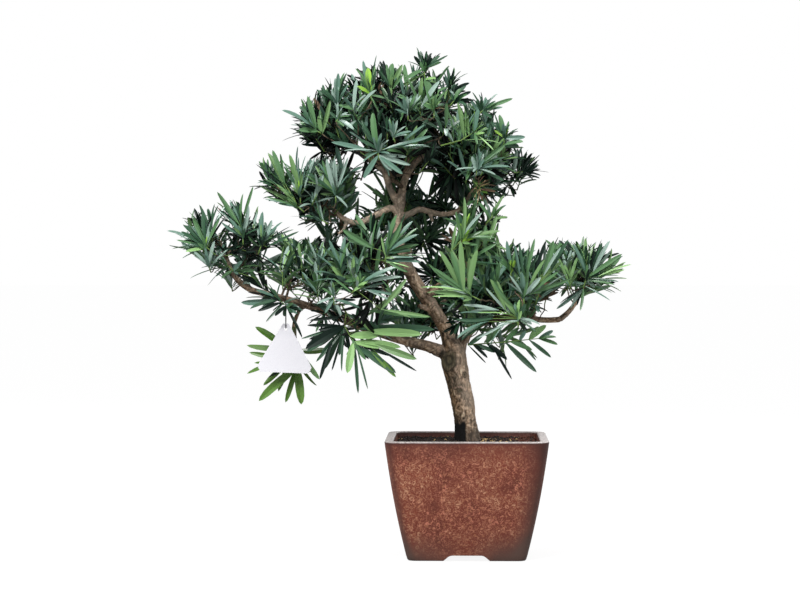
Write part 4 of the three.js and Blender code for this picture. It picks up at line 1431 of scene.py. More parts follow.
# %% Round the trunk and behind it, leaf by leaf
FANS |= {
    "under the gap": Fan("back_middle_pad", 30, [(452, 214), (446, 208)], """
        446 208 424 204 7 pine  446 209 427 211 7 deep  446 207 430 197 6 pine  446 207 438 196 7 leaf
        447 207 446 193 7 pine  446 210 434 218 6 deep  448 207 455 195 6 pine  446 208 463 214 7 pine
        447 209 465 221 7 deep  447 210 458 226 7 deep"""),
    "behind the trunk, upper": Fan("back_middle_pad", 44, [(418, 250), (426, 240)], """
        426 240 408 214 8 leaf  426 240 446 222 8 pine  427 241 452 236 8 pine  427 242 449 250 8 deep
        426 240 424 210 7 leaf  427 240 437 213 8 pine  425 240 402 228 8 pine  426 243 440 262 7 deep
        424 242 404 246 8 deep  426 240 447 228 8 leaf  426 241 452 243 8 deep  424 244 414 256 7 deep"""),
    "behind the trunk, lower": Fan("back_low_pad", 40, [(430, 285), (433, 276)], """
        433 276 424 248 8 deep  433 276 438 250 7 pine  432 276 412 258 8 deep  432 277 404 270 8 pine
        432 278 406 284 8 deep  434 276 450 256 8 deep  434 278 454 272 8 pine  432 280 414 296 7 deep
        431 277 398 262 8 deep  433 279 442 296 7 deep"""),
    "behind the front": Fan("front_pad", 26, [(400, 262), (398, 252)], """
        398 252 384 230 8 deep  398 252 394 224 8 pine  399 252 410 230 7 deep  398 254 382 262 8 deep
        398 255 390 276 8 pine  399 256 404 280 8 deep  397 253 376 248 7 pine"""),
    "left of the trunk": Fan("front_pad", 22, [(390, 294), (396, 281)], """
        396 281 383 262 7 pine  396 281 403 258 7 deep  397 282 414 270 7 pine  397 283 415 290 7 deep
        395 282 377 272 6 pine  396 284 407 300 6 deep  395 283 384 297 7 leaf  397 282 410 280 6 deep
        392 299 406 290 9 deep  386 302 404 297 9 pine"""),
    "by the fork": Fan("right_inner_pad", -20, [(466, 316), (460, 322)], """
        460 322 449 336 7 deep  460 321 446 322 6 pine  461 322 456 340 6 deep  461 322 466 338 7 pine
        460 320 450 310 6 deep"""),
    "dry tangle": Fan("crown_right", -64, [(470, 178), (480, 189)], """
        484 178 479 197 2 brown  488 180 484 200 2 tan  490 178 493 198 2 olive  486 176 496 186 2 brown
        492 184 488 204 2 brown  480 176 487 190 2 olive  480 189 486 205 2.5 tan  480 189 477 204 2 tan
        480 189 489 196 2 brown  479 188 490 183 2 tan  478 187 484 176 2 brown  480 189 474 198 2.5 tan
        478 186 468 196 2 brown  481 190 496 199 4 deep  481 191 499 206 4 deep  481 189 497 190 4 pine
        481 190 494 208 5 deep  481 189 489 211 5 pine"""),
    "right tuft side": Fan("crown_right", -60, [(450, 106), (454, 101)], """
        454 101 466 86 7 pine  455 101 471 92 7 deep  454 100 461 89 8 leaf  453 100 455 84 6 pine
        455 102 474 101 6 deep  455 102 466 107 8 pine"""),
    "behind left stem": Fan("back_middle_pad", 40, [(394, 214), (389, 205)], """
        388 199 371.5 170 9 leaf  388 198 363 183 8 leaf  388 206 372 192.5 13 pine
        386 207 373 209.5 6 leaf"""),
    "behind right stem": Fan("back_middle_pad", 40, [(404, 214), (407, 203)], """
        408 197 419.5 167 10 pine  410 190 424.5 167 6 grass  406 199 430 207 9 sea
        417 200 431 206 8 sea  417.5 192.5 426.5 200 4 deep"""),
}
print("leaf by leaf:", len(FANS), "sprays")

# %% The left pads, leaf by leaf
FANS |= {
    "outer left": Fan("outer_left_pad", -40, [(215, 255), (206, 247)], """
        192 248 168.5 245 5 leaf  198 250.5 171 249 4.5 leaf  195 248 176.5 240 5 leaf
        192.5 243.5 180.5 231.5 8 pine  194 241 182.5 224.5 8 pine  203 233 183.5 220 4 pine
        201 244.5 191 226 8 sea  204.5 237 189 211.5 7 leaf  204 239 192.5 217.5 8 leaf
        206.5 224 197 211 6 deep  205.5 228 202 211 8 pine  207 242 212 220 9 ice
        211.5 222 219 205 7 pine  209 243.5 220 219.5 8 leaf  217 223 224.5 217 4 deep
        195 255.5 181.5 258.5 4 pine  203 252 185.5 251.5 7 pale  206 247 207.5 236 4 lime"""),
    "outer left top": Fan("outer_left_pad", -50, [(243, 246), (242.5, 236.5)], """
        239.5 225 217.5 192 8.5 leaf  237 222 214 205 5 pine  240 221 233 199 8 pine
        240.5 220 243.5 193.5 9 leaf  242.5 219 253.5 186.5 6 leaf  244.5 226 249 205.5 8 ice
        234 238.5 221 222 6 sea  240 233 228 217.5 8 sea  241.5 236 234 228 6 grass
        245 227 251 216 5 deep  244 236 259 229 6 pine  226 236 224.5 229.5 6 deep"""),
    "outer left inner": Fan("outer_left_pad", -46, [(258, 254), (261.5, 244.5)], """
        265 226 262.5 211.5 11 sea  262.5 233 260.5 221 4 grass  268.5 233 272 220 9 ice
        271 234 283 222 8 sea  274 235 290.5 226.5 3 deep  264 244.5 294 229.5 6 pine
        266.5 247 299.5 231.5 5 pine  271 244.5 284.5 245.5 2.5 deep  260 247 248.5 236 6 leaf
        262.5 240 272.5 237.5 8 leaf"""),
    "outer left low": Fan("outer_left_pad", -24, [(233, 271), (227, 265)], """
        225 267 190 278.5 4 pine  210.5 269 207 286 4 pine  213 265 201 268 3.5 pine
        207 261 203 263 3 pine  225.5 269.5 216 276.5 6 pine  228 275 221.5 279 9 leaf
        255.5 278 243 261 9 sea  260.5 281 260.5 266 9 leaf  264 281 281 254 5 pine
        250 284 238 274 6 sea"""),
    "upper left": Fan("upper_left_pad", -60, [(304, 212), (297.5, 206.5)], """
        294 199.5 259 185 8 grass  292.5 194.5 262.5 179 8 leaf  288 188.5 257 163.5 5 leaf
        273 176.5 255.5 164 3 deep  280.5 181 267.5 152.5 9 grass  282.5 179.5 272.5 150 10 leaf
        284 198 266 197 4 leaf  292.5 203 264 199 5 sea  296 207.5 278 203.5 5 pine
        279 184 263.5 175.5 3.5 pine  295 197 276 184 7 grass"""),
    "upper left mid": Fan("upper_left_pad", -66, [(300.5, 203), (300, 194.5)], """
        298 181 289.5 154.5 10 grass  292.5 159 298.5 146.5 6 sea  301 165 306.5 155.5 5 sea
        295 163 298.5 157 4 sea  286.5 164 280.5 157.5 3 leaf  298.5 187 291.5 174 6 ice
        289.5 188.5 288.5 165.5 7 grass  285 182 284 166 5 pine  297 194.5 292 182 5 ice
        303.5 174 315 157.5 3 pine  303 171 308.5 159.5 3 sea  300 181 301.5 169 6 grass
        300 194 299 180 4 lime  328.5 153 315.5 157.5 8 ice"""),
    "upper left right": Fan("upper_left_pad", -70, [(336, 203), (335.5, 194.5)], """
        330 190 306 175.5 9 leaf  329 191 307 182 6 grass  323.5 176 305.5 171 6 pine
        326 179.5 315 165.5 7 grass  328 179 318.5 163 7 sea  329.5 177 322.5 160 6 leaf
        332 182.5 327 159 9 ice  333 172 335.5 155 5 ice  338.5 186 348.5 157.5 6 ice
        338 173 344.5 156 2.5 sea  339 195.5 347.5 208 8 ice  340 190.5 350 174 4 sea
        335.5 194 331 181 5 grass  336 194 342 182 5 grass"""),
    "upper left low": Fan("upper_left_pad", -56, [(328, 224), (321.5, 220)], """
        319 223 297 225.5 5 deep  319 220.5 299 221 4 pine  318 218 300 217 3.5 sea
        307 211.5 290 216.5 2.5 pine  320.5 217.5 312.5 194.5 5 sea  323.5 217 316 192 5 leaf
        319 215 309 199.5 6 pine  326.5 216.5 319 196.5 6 ice  309 227 307 231.5 2.5 deep"""),
}
print("leaf by leaf:", len(FANS), "sprays")

# %% The right pads, leaf by leaf
FANS |= {
    "right hand": Fan("right_inner_pad", -146, [(480, 300), (472, 296)], """
        463 291 420 287.5 5.5 pale  470.5 297.5 432 296.5 4 pale  464 295 433 292 9 grass
        465 292.5 428.5 263.5 8 leaf  457 285 434 268 6 leaf  459 288 439.5 250.5 10 grass
        462 290.5 450.5 251 10 leaf  464 292 460.5 240.5 11 grass  469 294 477.5 249.5 13 grass
        447 281 440.5 286 6 ice  463 290 447 262 5 leaf"""),
    "right middle": Fan("right_middle_pad", -104, [(450, 253), (462, 239)], """
        463 238 464 197 8 grass  464 236 476 190 10 leaf  462 240 456 211 7 leaf
        460.5 241 456 214 6 grass  465 236 482 213 7 ice  466 237 500.5 231 8 grass
        466 238 495 238 6 leaf  464 239 470 213 5 lime  466 234 478 219 7 leaf  451 252 456 224 6 grass
        455 248 461 225 5 leaf"""),
    "right edge": Fan("right_middle_pad", -70, [(486, 224), (493, 216)], """
        491 214 504 195.5 7 grass  489 218 507.5 218 4 deep  490 221.5 500.5 221.5 4 deep
        489 223 490 228 4 deep  484 216 488 205 6 sea  486 216 478 202 7 leaf  492 232 485 252 9 leaf
        490 232 474 250 8 grass"""),
    "right hub": Fan("right_inner_pad", -136, [(518, 328), (518, 318.5)], """
        517 316 465.5 314.5 4 pale  498 306 490 279 9 grass  518 306.5 500 295.5 8 grass
        513.5 297.5 493.5 282 7 leaf  491.5 304 485.5 287.5 5 ice  494.5 308.5 463 305 7 ice
        474 312 459.5 313 10 sea  484 318.5 456 319 9 pine  487.5 321.5 457 338.5 11 sea
        490 321.5 476 338.5 5 ice  516 320.5 495.5 328.5 9 ice  521.5 313 540 325 9.5 ice
        517 320 536 332 5 pine  518 317 508 305 5 leaf  519.5 312 519.5 299.5 7 pale"""),
    "right rosette": Fan("right_inner_pad", -134, [(524, 304), (523.5, 296)], """
        523 295 521 272 10 sea  522 295 515.5 277.5 6 sea  521 295 509 275 5 ice
        533 279 526.5 264 8 leaf  525 295 562 261 9 grass  526 294 540.5 277 9 ice
        536 280 544.5 259.5 8 grass  526 295 542 293 5 leaf  547.5 288 558.5 271.5 6 leaf
        530 257 534.5 238.5 7 leaf  545.5 256 546 240.5 7 deep  552.5 262 553 240.5 12 leaf
        560.5 259 560.5 247 6 ice  565 258 568 239.5 7 pine  520 256 518.5 243 6 pine
        526 254 528.5 240.5 7 pine  555 242 558 236.5 2.5 deep  515 252 513 243.5 6 sea"""),
    "right upper shoot": Fan("right_inner_pad", -128, [(511, 279), (510.5, 270.5)], """
        511 269.5 506.5 240.5 8 sea  511.5 268 517 247 6 leaf  510 270 500 252 7 leaf
        509 270 495 258 7 pine  510.5 271 509 261 4 lime"""),
    "far right": Fan("right_outer_pad", -60, [(583, 288), (586, 278.5)], """
        583.5 262 571.5 243 8 sea  584 262 578 245 7 pine  587.5 269 593 245 9 deep
        590 269 601.5 242.5 9 pine  603 262 609.5 240.5 9 ice  604 248 601 239.5 2.5 deep
        588 277 621.5 254 9 leaf  590 277 622.5 256 8 pine  603 276 630.5 264.5 6 pale
        586 278 579.5 262.5 8 grass  588.5 279.5 604 289.5 8 ice  595 289.5 609.5 300.5 4 sea
        601 288 612 293 3 pine  601 281 614.5 281 5 pine  602 286 614.5 285 6 leaf
        612 274 618 275.5 4 pine  582 282.5 565 281 5 sea  571.5 298 559 286.5 7 leaf
        578 298.5 556 309 7 sea  553 298 570 308.5 5 ice  573 305.5 579.5 310.5 6 leaf
        554.5 294.5 566 299.5 4 deep  548.5 302.5 559 303.5 3 deep"""),
}
print("leaf by leaf:", len(FANS), "sprays")

# %% The front and low down, leaf by leaf
FANS |= {
    "front teal": Fan("front_pad", -158, [(385, 262), (386.5, 252.5)], """
        387 248 397 214.5 9 leaf  386 248 388 220 8 sea  389 250.5 407.5 227.5 10 leaf
        392 250.5 418.5 234.5 10 sea  394 252 419 244.5 7 leaf  381 256 381.5 237 4 pale
        387 249 390 240 4 grass  398 265 420.5 262.5 9 sea  393 257 426 256 4.5 leaf
        397 265.5 409.5 267.5 3 pale  383 258 394 258.5 6 grass  371 259 377 219.5 5 leaf
        362 244.5 343 229.5 12 leaf  390 246 402 221 9 leaf  393 247 413 221 10 sea
        396 249 418 228 8 leaf  391 255 411 250 9 pine  390 243 405 213 7 pine  392 259 414 258 7 sea
        393 261 408 272 7 leaf"""),
    "front pale": Fan("front_pad", -168, [(352, 293), (358, 285.5)], """
        362 283 396.5 267.5 10 sea  365 284 402 277 9 ice  355 276 366 243.5 5 pine
        354 277 347 258 5 grass  351.5 289 347 265 5 leaf  352.5 290.5 366.5 282 8 pale
        344.5 295 333 278 4 leaf  381 309.5 407 278.5 9 grass  369 291.5 396 303 4 ice
        364.5 292.5 397 295.5 5 sea  381 309.5 431 317 6 grass  357 285 358 276 6 pale"""),
    "front low rosette": Fan("inner_left_pad", -136, [(334, 305), (333.5, 296.5)], """
        334.5 301 341 316 7 ice  337 300 359.5 308 7 sea  333 300 325 313 6 sea  331 298 317 304 6 ice
        334 296 333 287 4 grass  336 296 343 287 5 leaf  331 296 322 288 5 leaf"""),
    "behind the tag": Fan("low_left_spray", 30, [(290, 346), (297, 365)], """
        292 355 254.5 327 11 olive  290 363.5 249 352.5 8 olive  290 366 254 363 6 olive
        288 358 247.5 373.5 7 olive  296 364 268 377.5 4 deep  299 366 259 401 13 olive
        297 366 285 403 8 olive  310.5 360 301.5 404.5 13 olive  303 358 311 372 5 deep"""),
    "above the tag": Fan("inner_left_pad", -18, [(274, 296), (286, 306)], """
        288 312 302.5 338 7 deep  281 306 266 322 5 pine  286 308 275 316 8 deep
        287 304 285 326 10 leaf  288 304 303 311 9 sea  278 300 240.5 302.5 13 sea
        277 303 250 309 13 pine  283 303 300 298 7 pine  284 305 298 306 6 sea  277 299 264 284 7 leaf
        275 299 256 290 6 sea  279 297 281 283 6 pine  279 299 245 298 9 pine  272 298 262 288 4 deep
        280 304 258 311 8 deep  284 298 263 292 6 deep  285 299 270 288 5 pine  287 301 273 304 6 deep
        279 297 268 283 4 pine"""),
    "right of the tie": Fan("inner_left_pad", -24, [(330, 306), (324, 314)], """
        326 314 311 311 6 deep  325 315 306 320 5 pine  326 317 309 324 4 deep  308 326 320 335 4 deep
        327 323 327.5 340 2 deep  327 313 318 304 6 sea  328 312 336 322 6 pine  330 308 318 296 7 sea
        332 307 331 293 6 leaf  329 309 312 303 6 pine  334 308 346 298 7 sea  331 311 322 318 6 pine
        335 310 352 305 6 leaf  335 313 350 317 7 pine  333 314 341 327 6 deep"""),
    "low middle dark": Fan("low_middle_spray", -64, [(346, 314), (344.5, 326)], """
        344 326 301 339 4 pine  341 332 306 348.5 13 deep  335 341 306 352 9 pine
        325 337 306.5 325.5 5 deep  325 314 309.5 320.5 5 deep  330 340 320 379.5 6 deep
        334 338 332 370.5 3 deep  341 329 339 355.5 8 pine  342 338 331.5 371 3 deep
        345 334 342 371.5 4 pine  340 330 318 330 6 deep  338 336 316 362 6 pine
        347 330 350 352 6 deep"""),
    "low middle bright": Fan("low_middle_spray", -96, [(344.5, 326), (353, 342)], """
        347.5 336 378.5 336 12 pale  365 332 422.5 334 12 pale  354.5 342 383.5 347.5 10 pale
        378 335.5 401 347.5 10 pale  395 346.5 417 359 10 grass  409 357 417 371 4 deep
        351 342 347.5 373 11 pale  354.5 345 358 394 5 pine  356 345 368 389.5 3 pine
        356.5 345.5 396 373 11 pine  393 349.5 396 377.5 7 olive  360 346 391 356 6 deep
        360 329 435 329.5 12 pine  366 310.5 429 317.5 8 leaf  378 310 402 290 7 grass
        352 338 366 360 6 leaf"""),
    "low right": Fan("low_right_spray", -60, [(468, 345), (505, 342), (543, 338)], """
        538 340 557.5 344.5 6 leaf  539.5 335 553 330.5 6 sea  529.5 336.5 546 325 9 grass
        528 337 538.5 326.5 7 grass  517 340 525.5 330.5 6 sea  503 340.5 519 327.5 8 leaf
        486.5 340 499.5 328 7 leaf  484 341 491.5 328 6 leaf  529.5 342 551 357.5 6 pine
        518 345 536 360.5 3.5 pine  503 343 536.5 372 8 pine  489 347 507 359.5 8 deep
        493 348 512 379.5 4 deep  470.5 343 487.5 358 5 deep  468 345.5 486 363 2.5 deep
        540 339 556 337 6 leaf  512 341 532 350 7 leaf  478 344 496 352 6 pine  470 343.5 484 333 7 pine
        473 344 485 350 6 deep"""),
}
shown_fans = np.vstack([fan.shown() for fan in FANS.values()])
print("sprays set leaf by leaf:", len(FANS), "with", sum(len(fan.names) for fan in FANS.values()), "leaves")

# %% Shoots drawn on the masses
OUTSIDE_REACH = 0.6
BETWEEN_MASSES = 0.013
CROWDED_SHARE = 0.22
UNDER_SHARE = 0.2
SURFACE_TRIES, INSIDE_TRIES = 900, 240
INSIDE_LEAST = 0.016


def surface_draw(name, count, draw):
    """Random points on a mass's surface, evenly spread by area, with their outward ways."""
    places, triangles = mass_shapes[name]
    corners = places[triangles]
    cross = np.cross(corners[:, 1] - corners[:, 0], corners[:, 2] - corners[:, 0])
    area = np.linalg.norm(cross, axis=1)
    chosen = draw.choice(len(triangles), count, p=area / area.sum())
    first, second = draw.random((2, count))
    flip = first + second > 1
    first[flip], second[flip] = 1 - first[flip], 1 - second[flip]
    corner = corners[chosen].transpose(1, 0, 2)
    spots = corner[0] + first[:, None] * (corner[1] - corner[0]) + second[:, None] * (corner[2] - corner[0])
    middle = (places.min(0) + places.max(0)) / 2
    half = (places.max(0) - places.min(0)) / 2
    out = unit((spots - middle) / half ** 2)
    facet = cross[chosen] / area[chosen][:, None]
    facet *= np.sign(np.einsum("ij,ij->i", facet, out))[:, None]
    return spots, unit(out + 0.5 * facet)


def gap_to_others(spot, name):
    """Distance from a spot to the nearest other mass."""
    nearest = 1.0
    for other, tree in mass_trees.items():
        if other != name:
            found = tree.find_nearest(spot, nearest)
            if found[3] is not None:
                nearest = min(nearest, found[3])
    return nearest


def draw_shoots():
    """All shoots: the placed ones, then random ones where there is room."""
    draw = np.random.default_rng(2026)
    shoots = [*SPRAYS.values(), *FANS.values()]
    taken = np.array([shoot.tip for shoot in shoots])
    grown = {name: look for name, look in MASSES.items() if not name.startswith("low_")}
    for name, look in grown.items():
        spots, ways = surface_draw(name, SURFACE_TRIES, draw)
        for spot, way in zip(spots, ways):
            chance = draw.random(3)
            wobble = draw.normal(0, 0.22, 3)
            under = way[2] < -0.25 and look.up > 0
            if under and chance[0] > UNDER_SHARE:
                continue
            aim = way + wobble + np.array([0, 0, look.up * (1.6 if under else 1.0)])
            aim /= np.linalg.norm(aim)
            leaf = look.leaf * (0.82 + 0.34 * chance[2])
            tip = spot - aim * leaf * OUTSIDE_REACH
            if np.linalg.norm(taken - tip, axis=1).min() < look.apart:
                continue
            if gap_to_others(Vector(spot), name) < BETWEEN_MASSES and chance[1] > CROWDED_SHARE:
                continue
            stem = 0.012 if under else 0.03
            shoots.append(Shoot(tip, aim, name, leaf, look.leaves, stem, look.mix, droop=look.droop))
            taken = np.vstack([taken, tip])
    outside = len(shoots)
    for name, look in grown.items():
        low, high = mass_shapes[name][0].min(0), mass_shapes[name][0].max(0)
        for spot in draw.uniform(low + 0.02, high - 0.02, (INSIDE_TRIES, 3)):
            found = mass_trees[name].find_nearest(Vector(spot))
            within = (Vector(spot) - found[0]).dot(Vector((low + high) / 2) - found[0]) > 0
            room = np.linalg.norm(taken - spot, axis=1).min()
            if not within or found[3] < INSIDE_LEAST or room < look.apart * 0.8:
                continue
            aim = spot - (low + high) / 2 + np.array([0, 0, 0.03]) + draw.normal(0, 0.02, 3)
            # Shoots inside the tree take the darkest mixes: painted shade.
            mix = "inner" if name.startswith(("crown", "front")) else "thin"
            shoots.append(Shoot(spot, aim, name, leaf=look.leaf * 0.85, leaves=11, mix=mix, stem=0.024))
            taken = np.vstack([taken, spot])
    print("shoots:", outside, "outside,", len(shoots) - outside, "inside")
    return shoots


shoots = draw_shoots()
shoots = [shoot for shoot in shoots if shoot.placed or not shows_sky(shoot.tip[None])[0]]
print("shoots kept:", len(shoots))

# %% [markdown]
# ## Twigs
# Every shoot is joined to the tree by one rule. The shoots nearest the limbs go first, and each looks for
# the wood that reaches it with the least new twig, with a small cost for wood that is already far along
# its own twig and for turning back. The twig leaves in the way its parent was growing. A twig is as thick
# as the shoots that it feeds ask for.

# %% The growing rule
TWIG_STEP = 0.011
FAR_COST = 0.22
TURN_COST = 0.45
THICKENING = 0.4
TWIG_MOST = 0.0034
TWIG_SWING = 0.022
SKY_TWIGS = 0.12
TINY = 1e-9


def grow(shoots):
    """The twigs that carry the shoots: lines of places, and the radius at each place."""
    draw = np.random.default_rng(77)
    limb_places = np.vstack([line[:, :3] for line in limb_lines.values()])
    limb_ways = np.vstack([frames_along(line[:, :3])[0] for line in limb_lines.values()])
    start = len(limb_places)
    most = start + 40 * len(shoots)
    places, ways, far = np.empty((most, 3)), np.empty((most, 3)), np.zeros(most)
    parent, load = np.full(most, -1), np.zeros(most)
    places[:start], ways[:start] = limb_places, limb_ways
    bases = np.array([shoot.base for shoot in shoots])
    order = np.argsort([np.linalg.norm(limb_places - base, axis=1).min() for base in bases])
    count, lines = start, []
    for index in order:
        base, way = bases[index], shoots[index].way
        gap = base - places[:count]
        reach = np.linalg.norm(gap, axis=1) + 1e-6
        lead = np.einsum("ij,ij->i", gap, ways[:count]) / reach
        turn = np.where(np.arange(count) < start, 0.3, 1.0) * (1 - lead) * TURN_COST
        node = int(np.argmin(reach * (1 + turn) + FAR_COST * far[:count]))
        steps = max(2, min(38, round(reach[node] / TWIG_STEP)))
        t = np.linspace(0, 1, steps + 1)[1:, None]
        leave = 0.75 * gap[node] + 0.55 * ways[node] * min(reach[node], TWIG_SWING)
        arrive = 0.4 * gap[node] + way * min(reach[node], TWIG_SWING)
        new = bridge(t, places[node], leave, base, arrive)
        new[:-1] += draw.normal(0, 0.0011, (steps - 1, 3))
        chain = [node, *range(count, count + steps)]
        made = slice(count, count + steps)
        trail = np.vstack([places[node], new])
        places[made], parent[made] = new, chain[:-1]
        ways[made] = unit(np.gradient(trail, axis=0)[1:], TINY)
        far[made] = far[node] + np.cumsum(np.linalg.norm(np.diff(trail, axis=0), axis=1))
        load[count + steps - 1] += 1
        lines.append((index, chain))
        count += steps
    for node in range(count - 1, start - 1, -1):
        load[parent[node]] += load[node]
    radius = np.minimum(SHOOT_RADIUS * np.maximum(load, 1) ** THICKENING, TWIG_MOST)
    twigs = []
    for _, chain in sorted(lines):
        thick = radius[chain].copy()
        thick[0] = thick[1]
        twigs.append((places[chain], thick))
    thickest = round(radius[start:count].max() / MM, 2)
    print("twigs:", len(twigs), "lines,", count - start, "places, thickest", thickest, "mm")
    return twigs


def clear_of_sky(shoots):
    """The shoots whose own twig crosses no gap of sky, and the placed ones."""
    kept = []
    for shoot, (line, _) in zip(shoots, grow(shoots)):
        if shoot.placed or shows_sky(line[1:]).mean() < SKY_TWIGS:
            kept.append(shoot)
    return kept


shoots = clear_of_sky(shoots)
print("shoots with a clear way to the wood:", len(shoots))

# %% [markdown]
# ## Leaves
# A podocarpus leaf is a narrow blade, widest a little past its middle, with a blunt point, folded slightly
# along its midrib. One leaf is modelled from a grid. Each copy gets its own length, width, bend and
# twist in the arithmetic that places it, and all copies of a piece are joined in one mesh. Old leaves
# are dark and bluish, and young ones paler. Painted shade and a painted sheen are among the colours too.
# Each leaf's colour is one of a few plain ones.

# %% One leaf
LEAF_STATIONS = 7
HALF_WIDTHS = {0.0: 0.17, 0.08: 0.36, 0.22: 0.74, 0.42: 0.97, 0.62: 1.0, 0.8: 0.86, 0.93: 0.52, 1.0: 0.06}
LEAF_SLENDER = 0.066
MIDRIB_FOLD = 0.44


def leaf_pattern():
    """The leaf's grid: how far across and along each point is, its width there, and the faces."""
    bm = bmesh.new()
    bmesh.ops.create_grid(bm, x_segments=2, y_segments=LEAF_STATIONS, size=1.0)
    stations = sorted(HALF_WIDTHS)
    rows = sorted({round(vertex.co.y, 4) for vertex in bm.verts})
    ends = [vertex for vertex in bm.verts if round(vertex.co.y, 4) == rows[-1]]
    bmesh.ops.pointmerge(bm, verts=ends, merge_co=(0, rows[-1], 0))
    bm.verts.index_update()
    across = np.array([vertex.co.x for vertex in bm.verts])
    along = np.array([stations[rows.index(round(vertex.co.y, 4))] for vertex in bm.verts])
    bmesh.ops.triangulate(bm, faces=bm.faces[:])
    faces = np.array([[vertex.index for vertex in face.verts] for face in bm.faces])
    bm.free()
    return across, along, np.array([HALF_WIDTHS[value] for value in along]), faces


leaf_across, leaf_along, leaf_width, leaf_faces = leaf_pattern()
print("leaf:", len(leaf_across), "points,", len(leaf_faces), "triangles")

# %% [markdown]
# A leaf's colour follows its age, and light and shade are painted into it as well: near black inside the
# tree is painted shade, and the pale bluish grey on top is a painted sheen. Young tips are yellow green.
# Each look has a mix, which is the share of each colour. Most leaves of a shoot share one colour, so that
# the foliage reads as sprays and not as grain.

# %% Leaf colours
# The near-black shade colour is painted shade, and deep, a dark old leaf colour, is partly painted shade.
# The pale bluish grey is a painted sheen, and sea, a blue green, is partly painted sheen.
LEAF_TONES = {
    "shade": ((6, 11, 9), 0.55), "deep": ((21, 38, 31), 0.42), "pine": ((55, 90, 65), 0.35),
    "sea": ((96, 130, 114), 0.31), "ice": ((149, 173, 161), 0.3), "leaf": ((88, 128, 84), 0.35),
    "grass": ((112, 148, 94), 0.38), "pale": ((146, 188, 120), 0.46), "lime": ((150, 196, 76), 0.45),
    "olive": ((92, 132, 54), 0.4), "tan": ((172, 154, 112), 0.7), "brown": ((104, 82, 62), 0.75),
}
TONE_ORDER = list(LEAF_TONES)
# The mixes shade, hollow, inner and thin are mostly the darkest colours: painted shade for the hollows and
# the inside of the tree.
MIXES = {
    "crown": {"shade": 14, "deep": 27, "pine": 28, "sea": 15, "ice": 3, "leaf": 12, "grass": 4,
              "brown": 0.3},
    "side": {"shade": 6, "deep": 14, "pine": 28, "sea": 22, "ice": 10, "leaf": 20, "grass": 8,
             "brown": 0.3},
    "hollow": {"shade": 27, "deep": 31, "pine": 22, "sea": 10, "ice": 2, "leaf": 8},
    "shade": {"shade": 14, "deep": 40, "pine": 28, "sea": 8, "leaf": 6, "tan": 3, "brown": 1},
    "pad": {"deep": 10, "pine": 28, "sea": 28, "ice": 9, "leaf": 20, "grass": 5, "brown": 0.3},
    "right": {"deep": 4, "pine": 20, "sea": 24, "ice": 8, "leaf": 30, "grass": 12, "pale": 2},
    "middle": {"shade": 5, "deep": 8, "pine": 20, "sea": 26, "ice": 9, "leaf": 24, "grass": 12, "pale": 3},
    "bright": {"leaf": 48, "grass": 34, "sea": 10, "pine": 8},
    "fresh": {"grass": 46, "pale": 34, "leaf": 14, "pine": 6},
    "olive": {"olive": 62, "grass": 24, "leaf": 14},
    "dark": {"deep": 60, "pine": 40},
    "sea": {"sea": 50, "ice": 16, "pine": 26, "leaf": 8},
    "pine": {"pine": 55, "deep": 15, "sea": 15, "leaf": 15},
    "inner": {"shade": 68, "deep": 30, "brown": 2},
    "thin": {"shade": 20, "deep": 45, "pine": 29, "brown": 6},
    "light": {"deep": 3, "pine": 10, "sea": 28, "ice": 24, "leaf": 27, "grass": 8},
    "silver": {"pine": 8, "sea": 24, "ice": 34, "leaf": 24, "grass": 10},
}
BRIGHTER = {"shade": "deep", "deep": "pine", "pine": "leaf", "sea": "leaf", "ice": "sea", "leaf": "grass",
            "grass": "pale", "pale": "lime", "lime": "lime", "olive": "grass", "tan": "tan",
            "brown": "brown"}
print("leaf colours:", len(LEAF_TONES), "plain ones, in", len(MIXES), "mixes")

# %% [markdown]
# The leaves of a shoot stand in a spiral, as seeds do in a sunflower. The lowest stand wide and the last
# close to the stem's own way. A leaf is bent by curling its midrib into an arc, which keeps its length.

# %% A whorl of leaves
GOLDEN_TURN = math.radians(137.5)
WHORL_LIFT = 0.12
OWN_TONE_SHARE = 0.62
YOUNG_FROM, YOUNG_SHARE = 0.8, 0.4


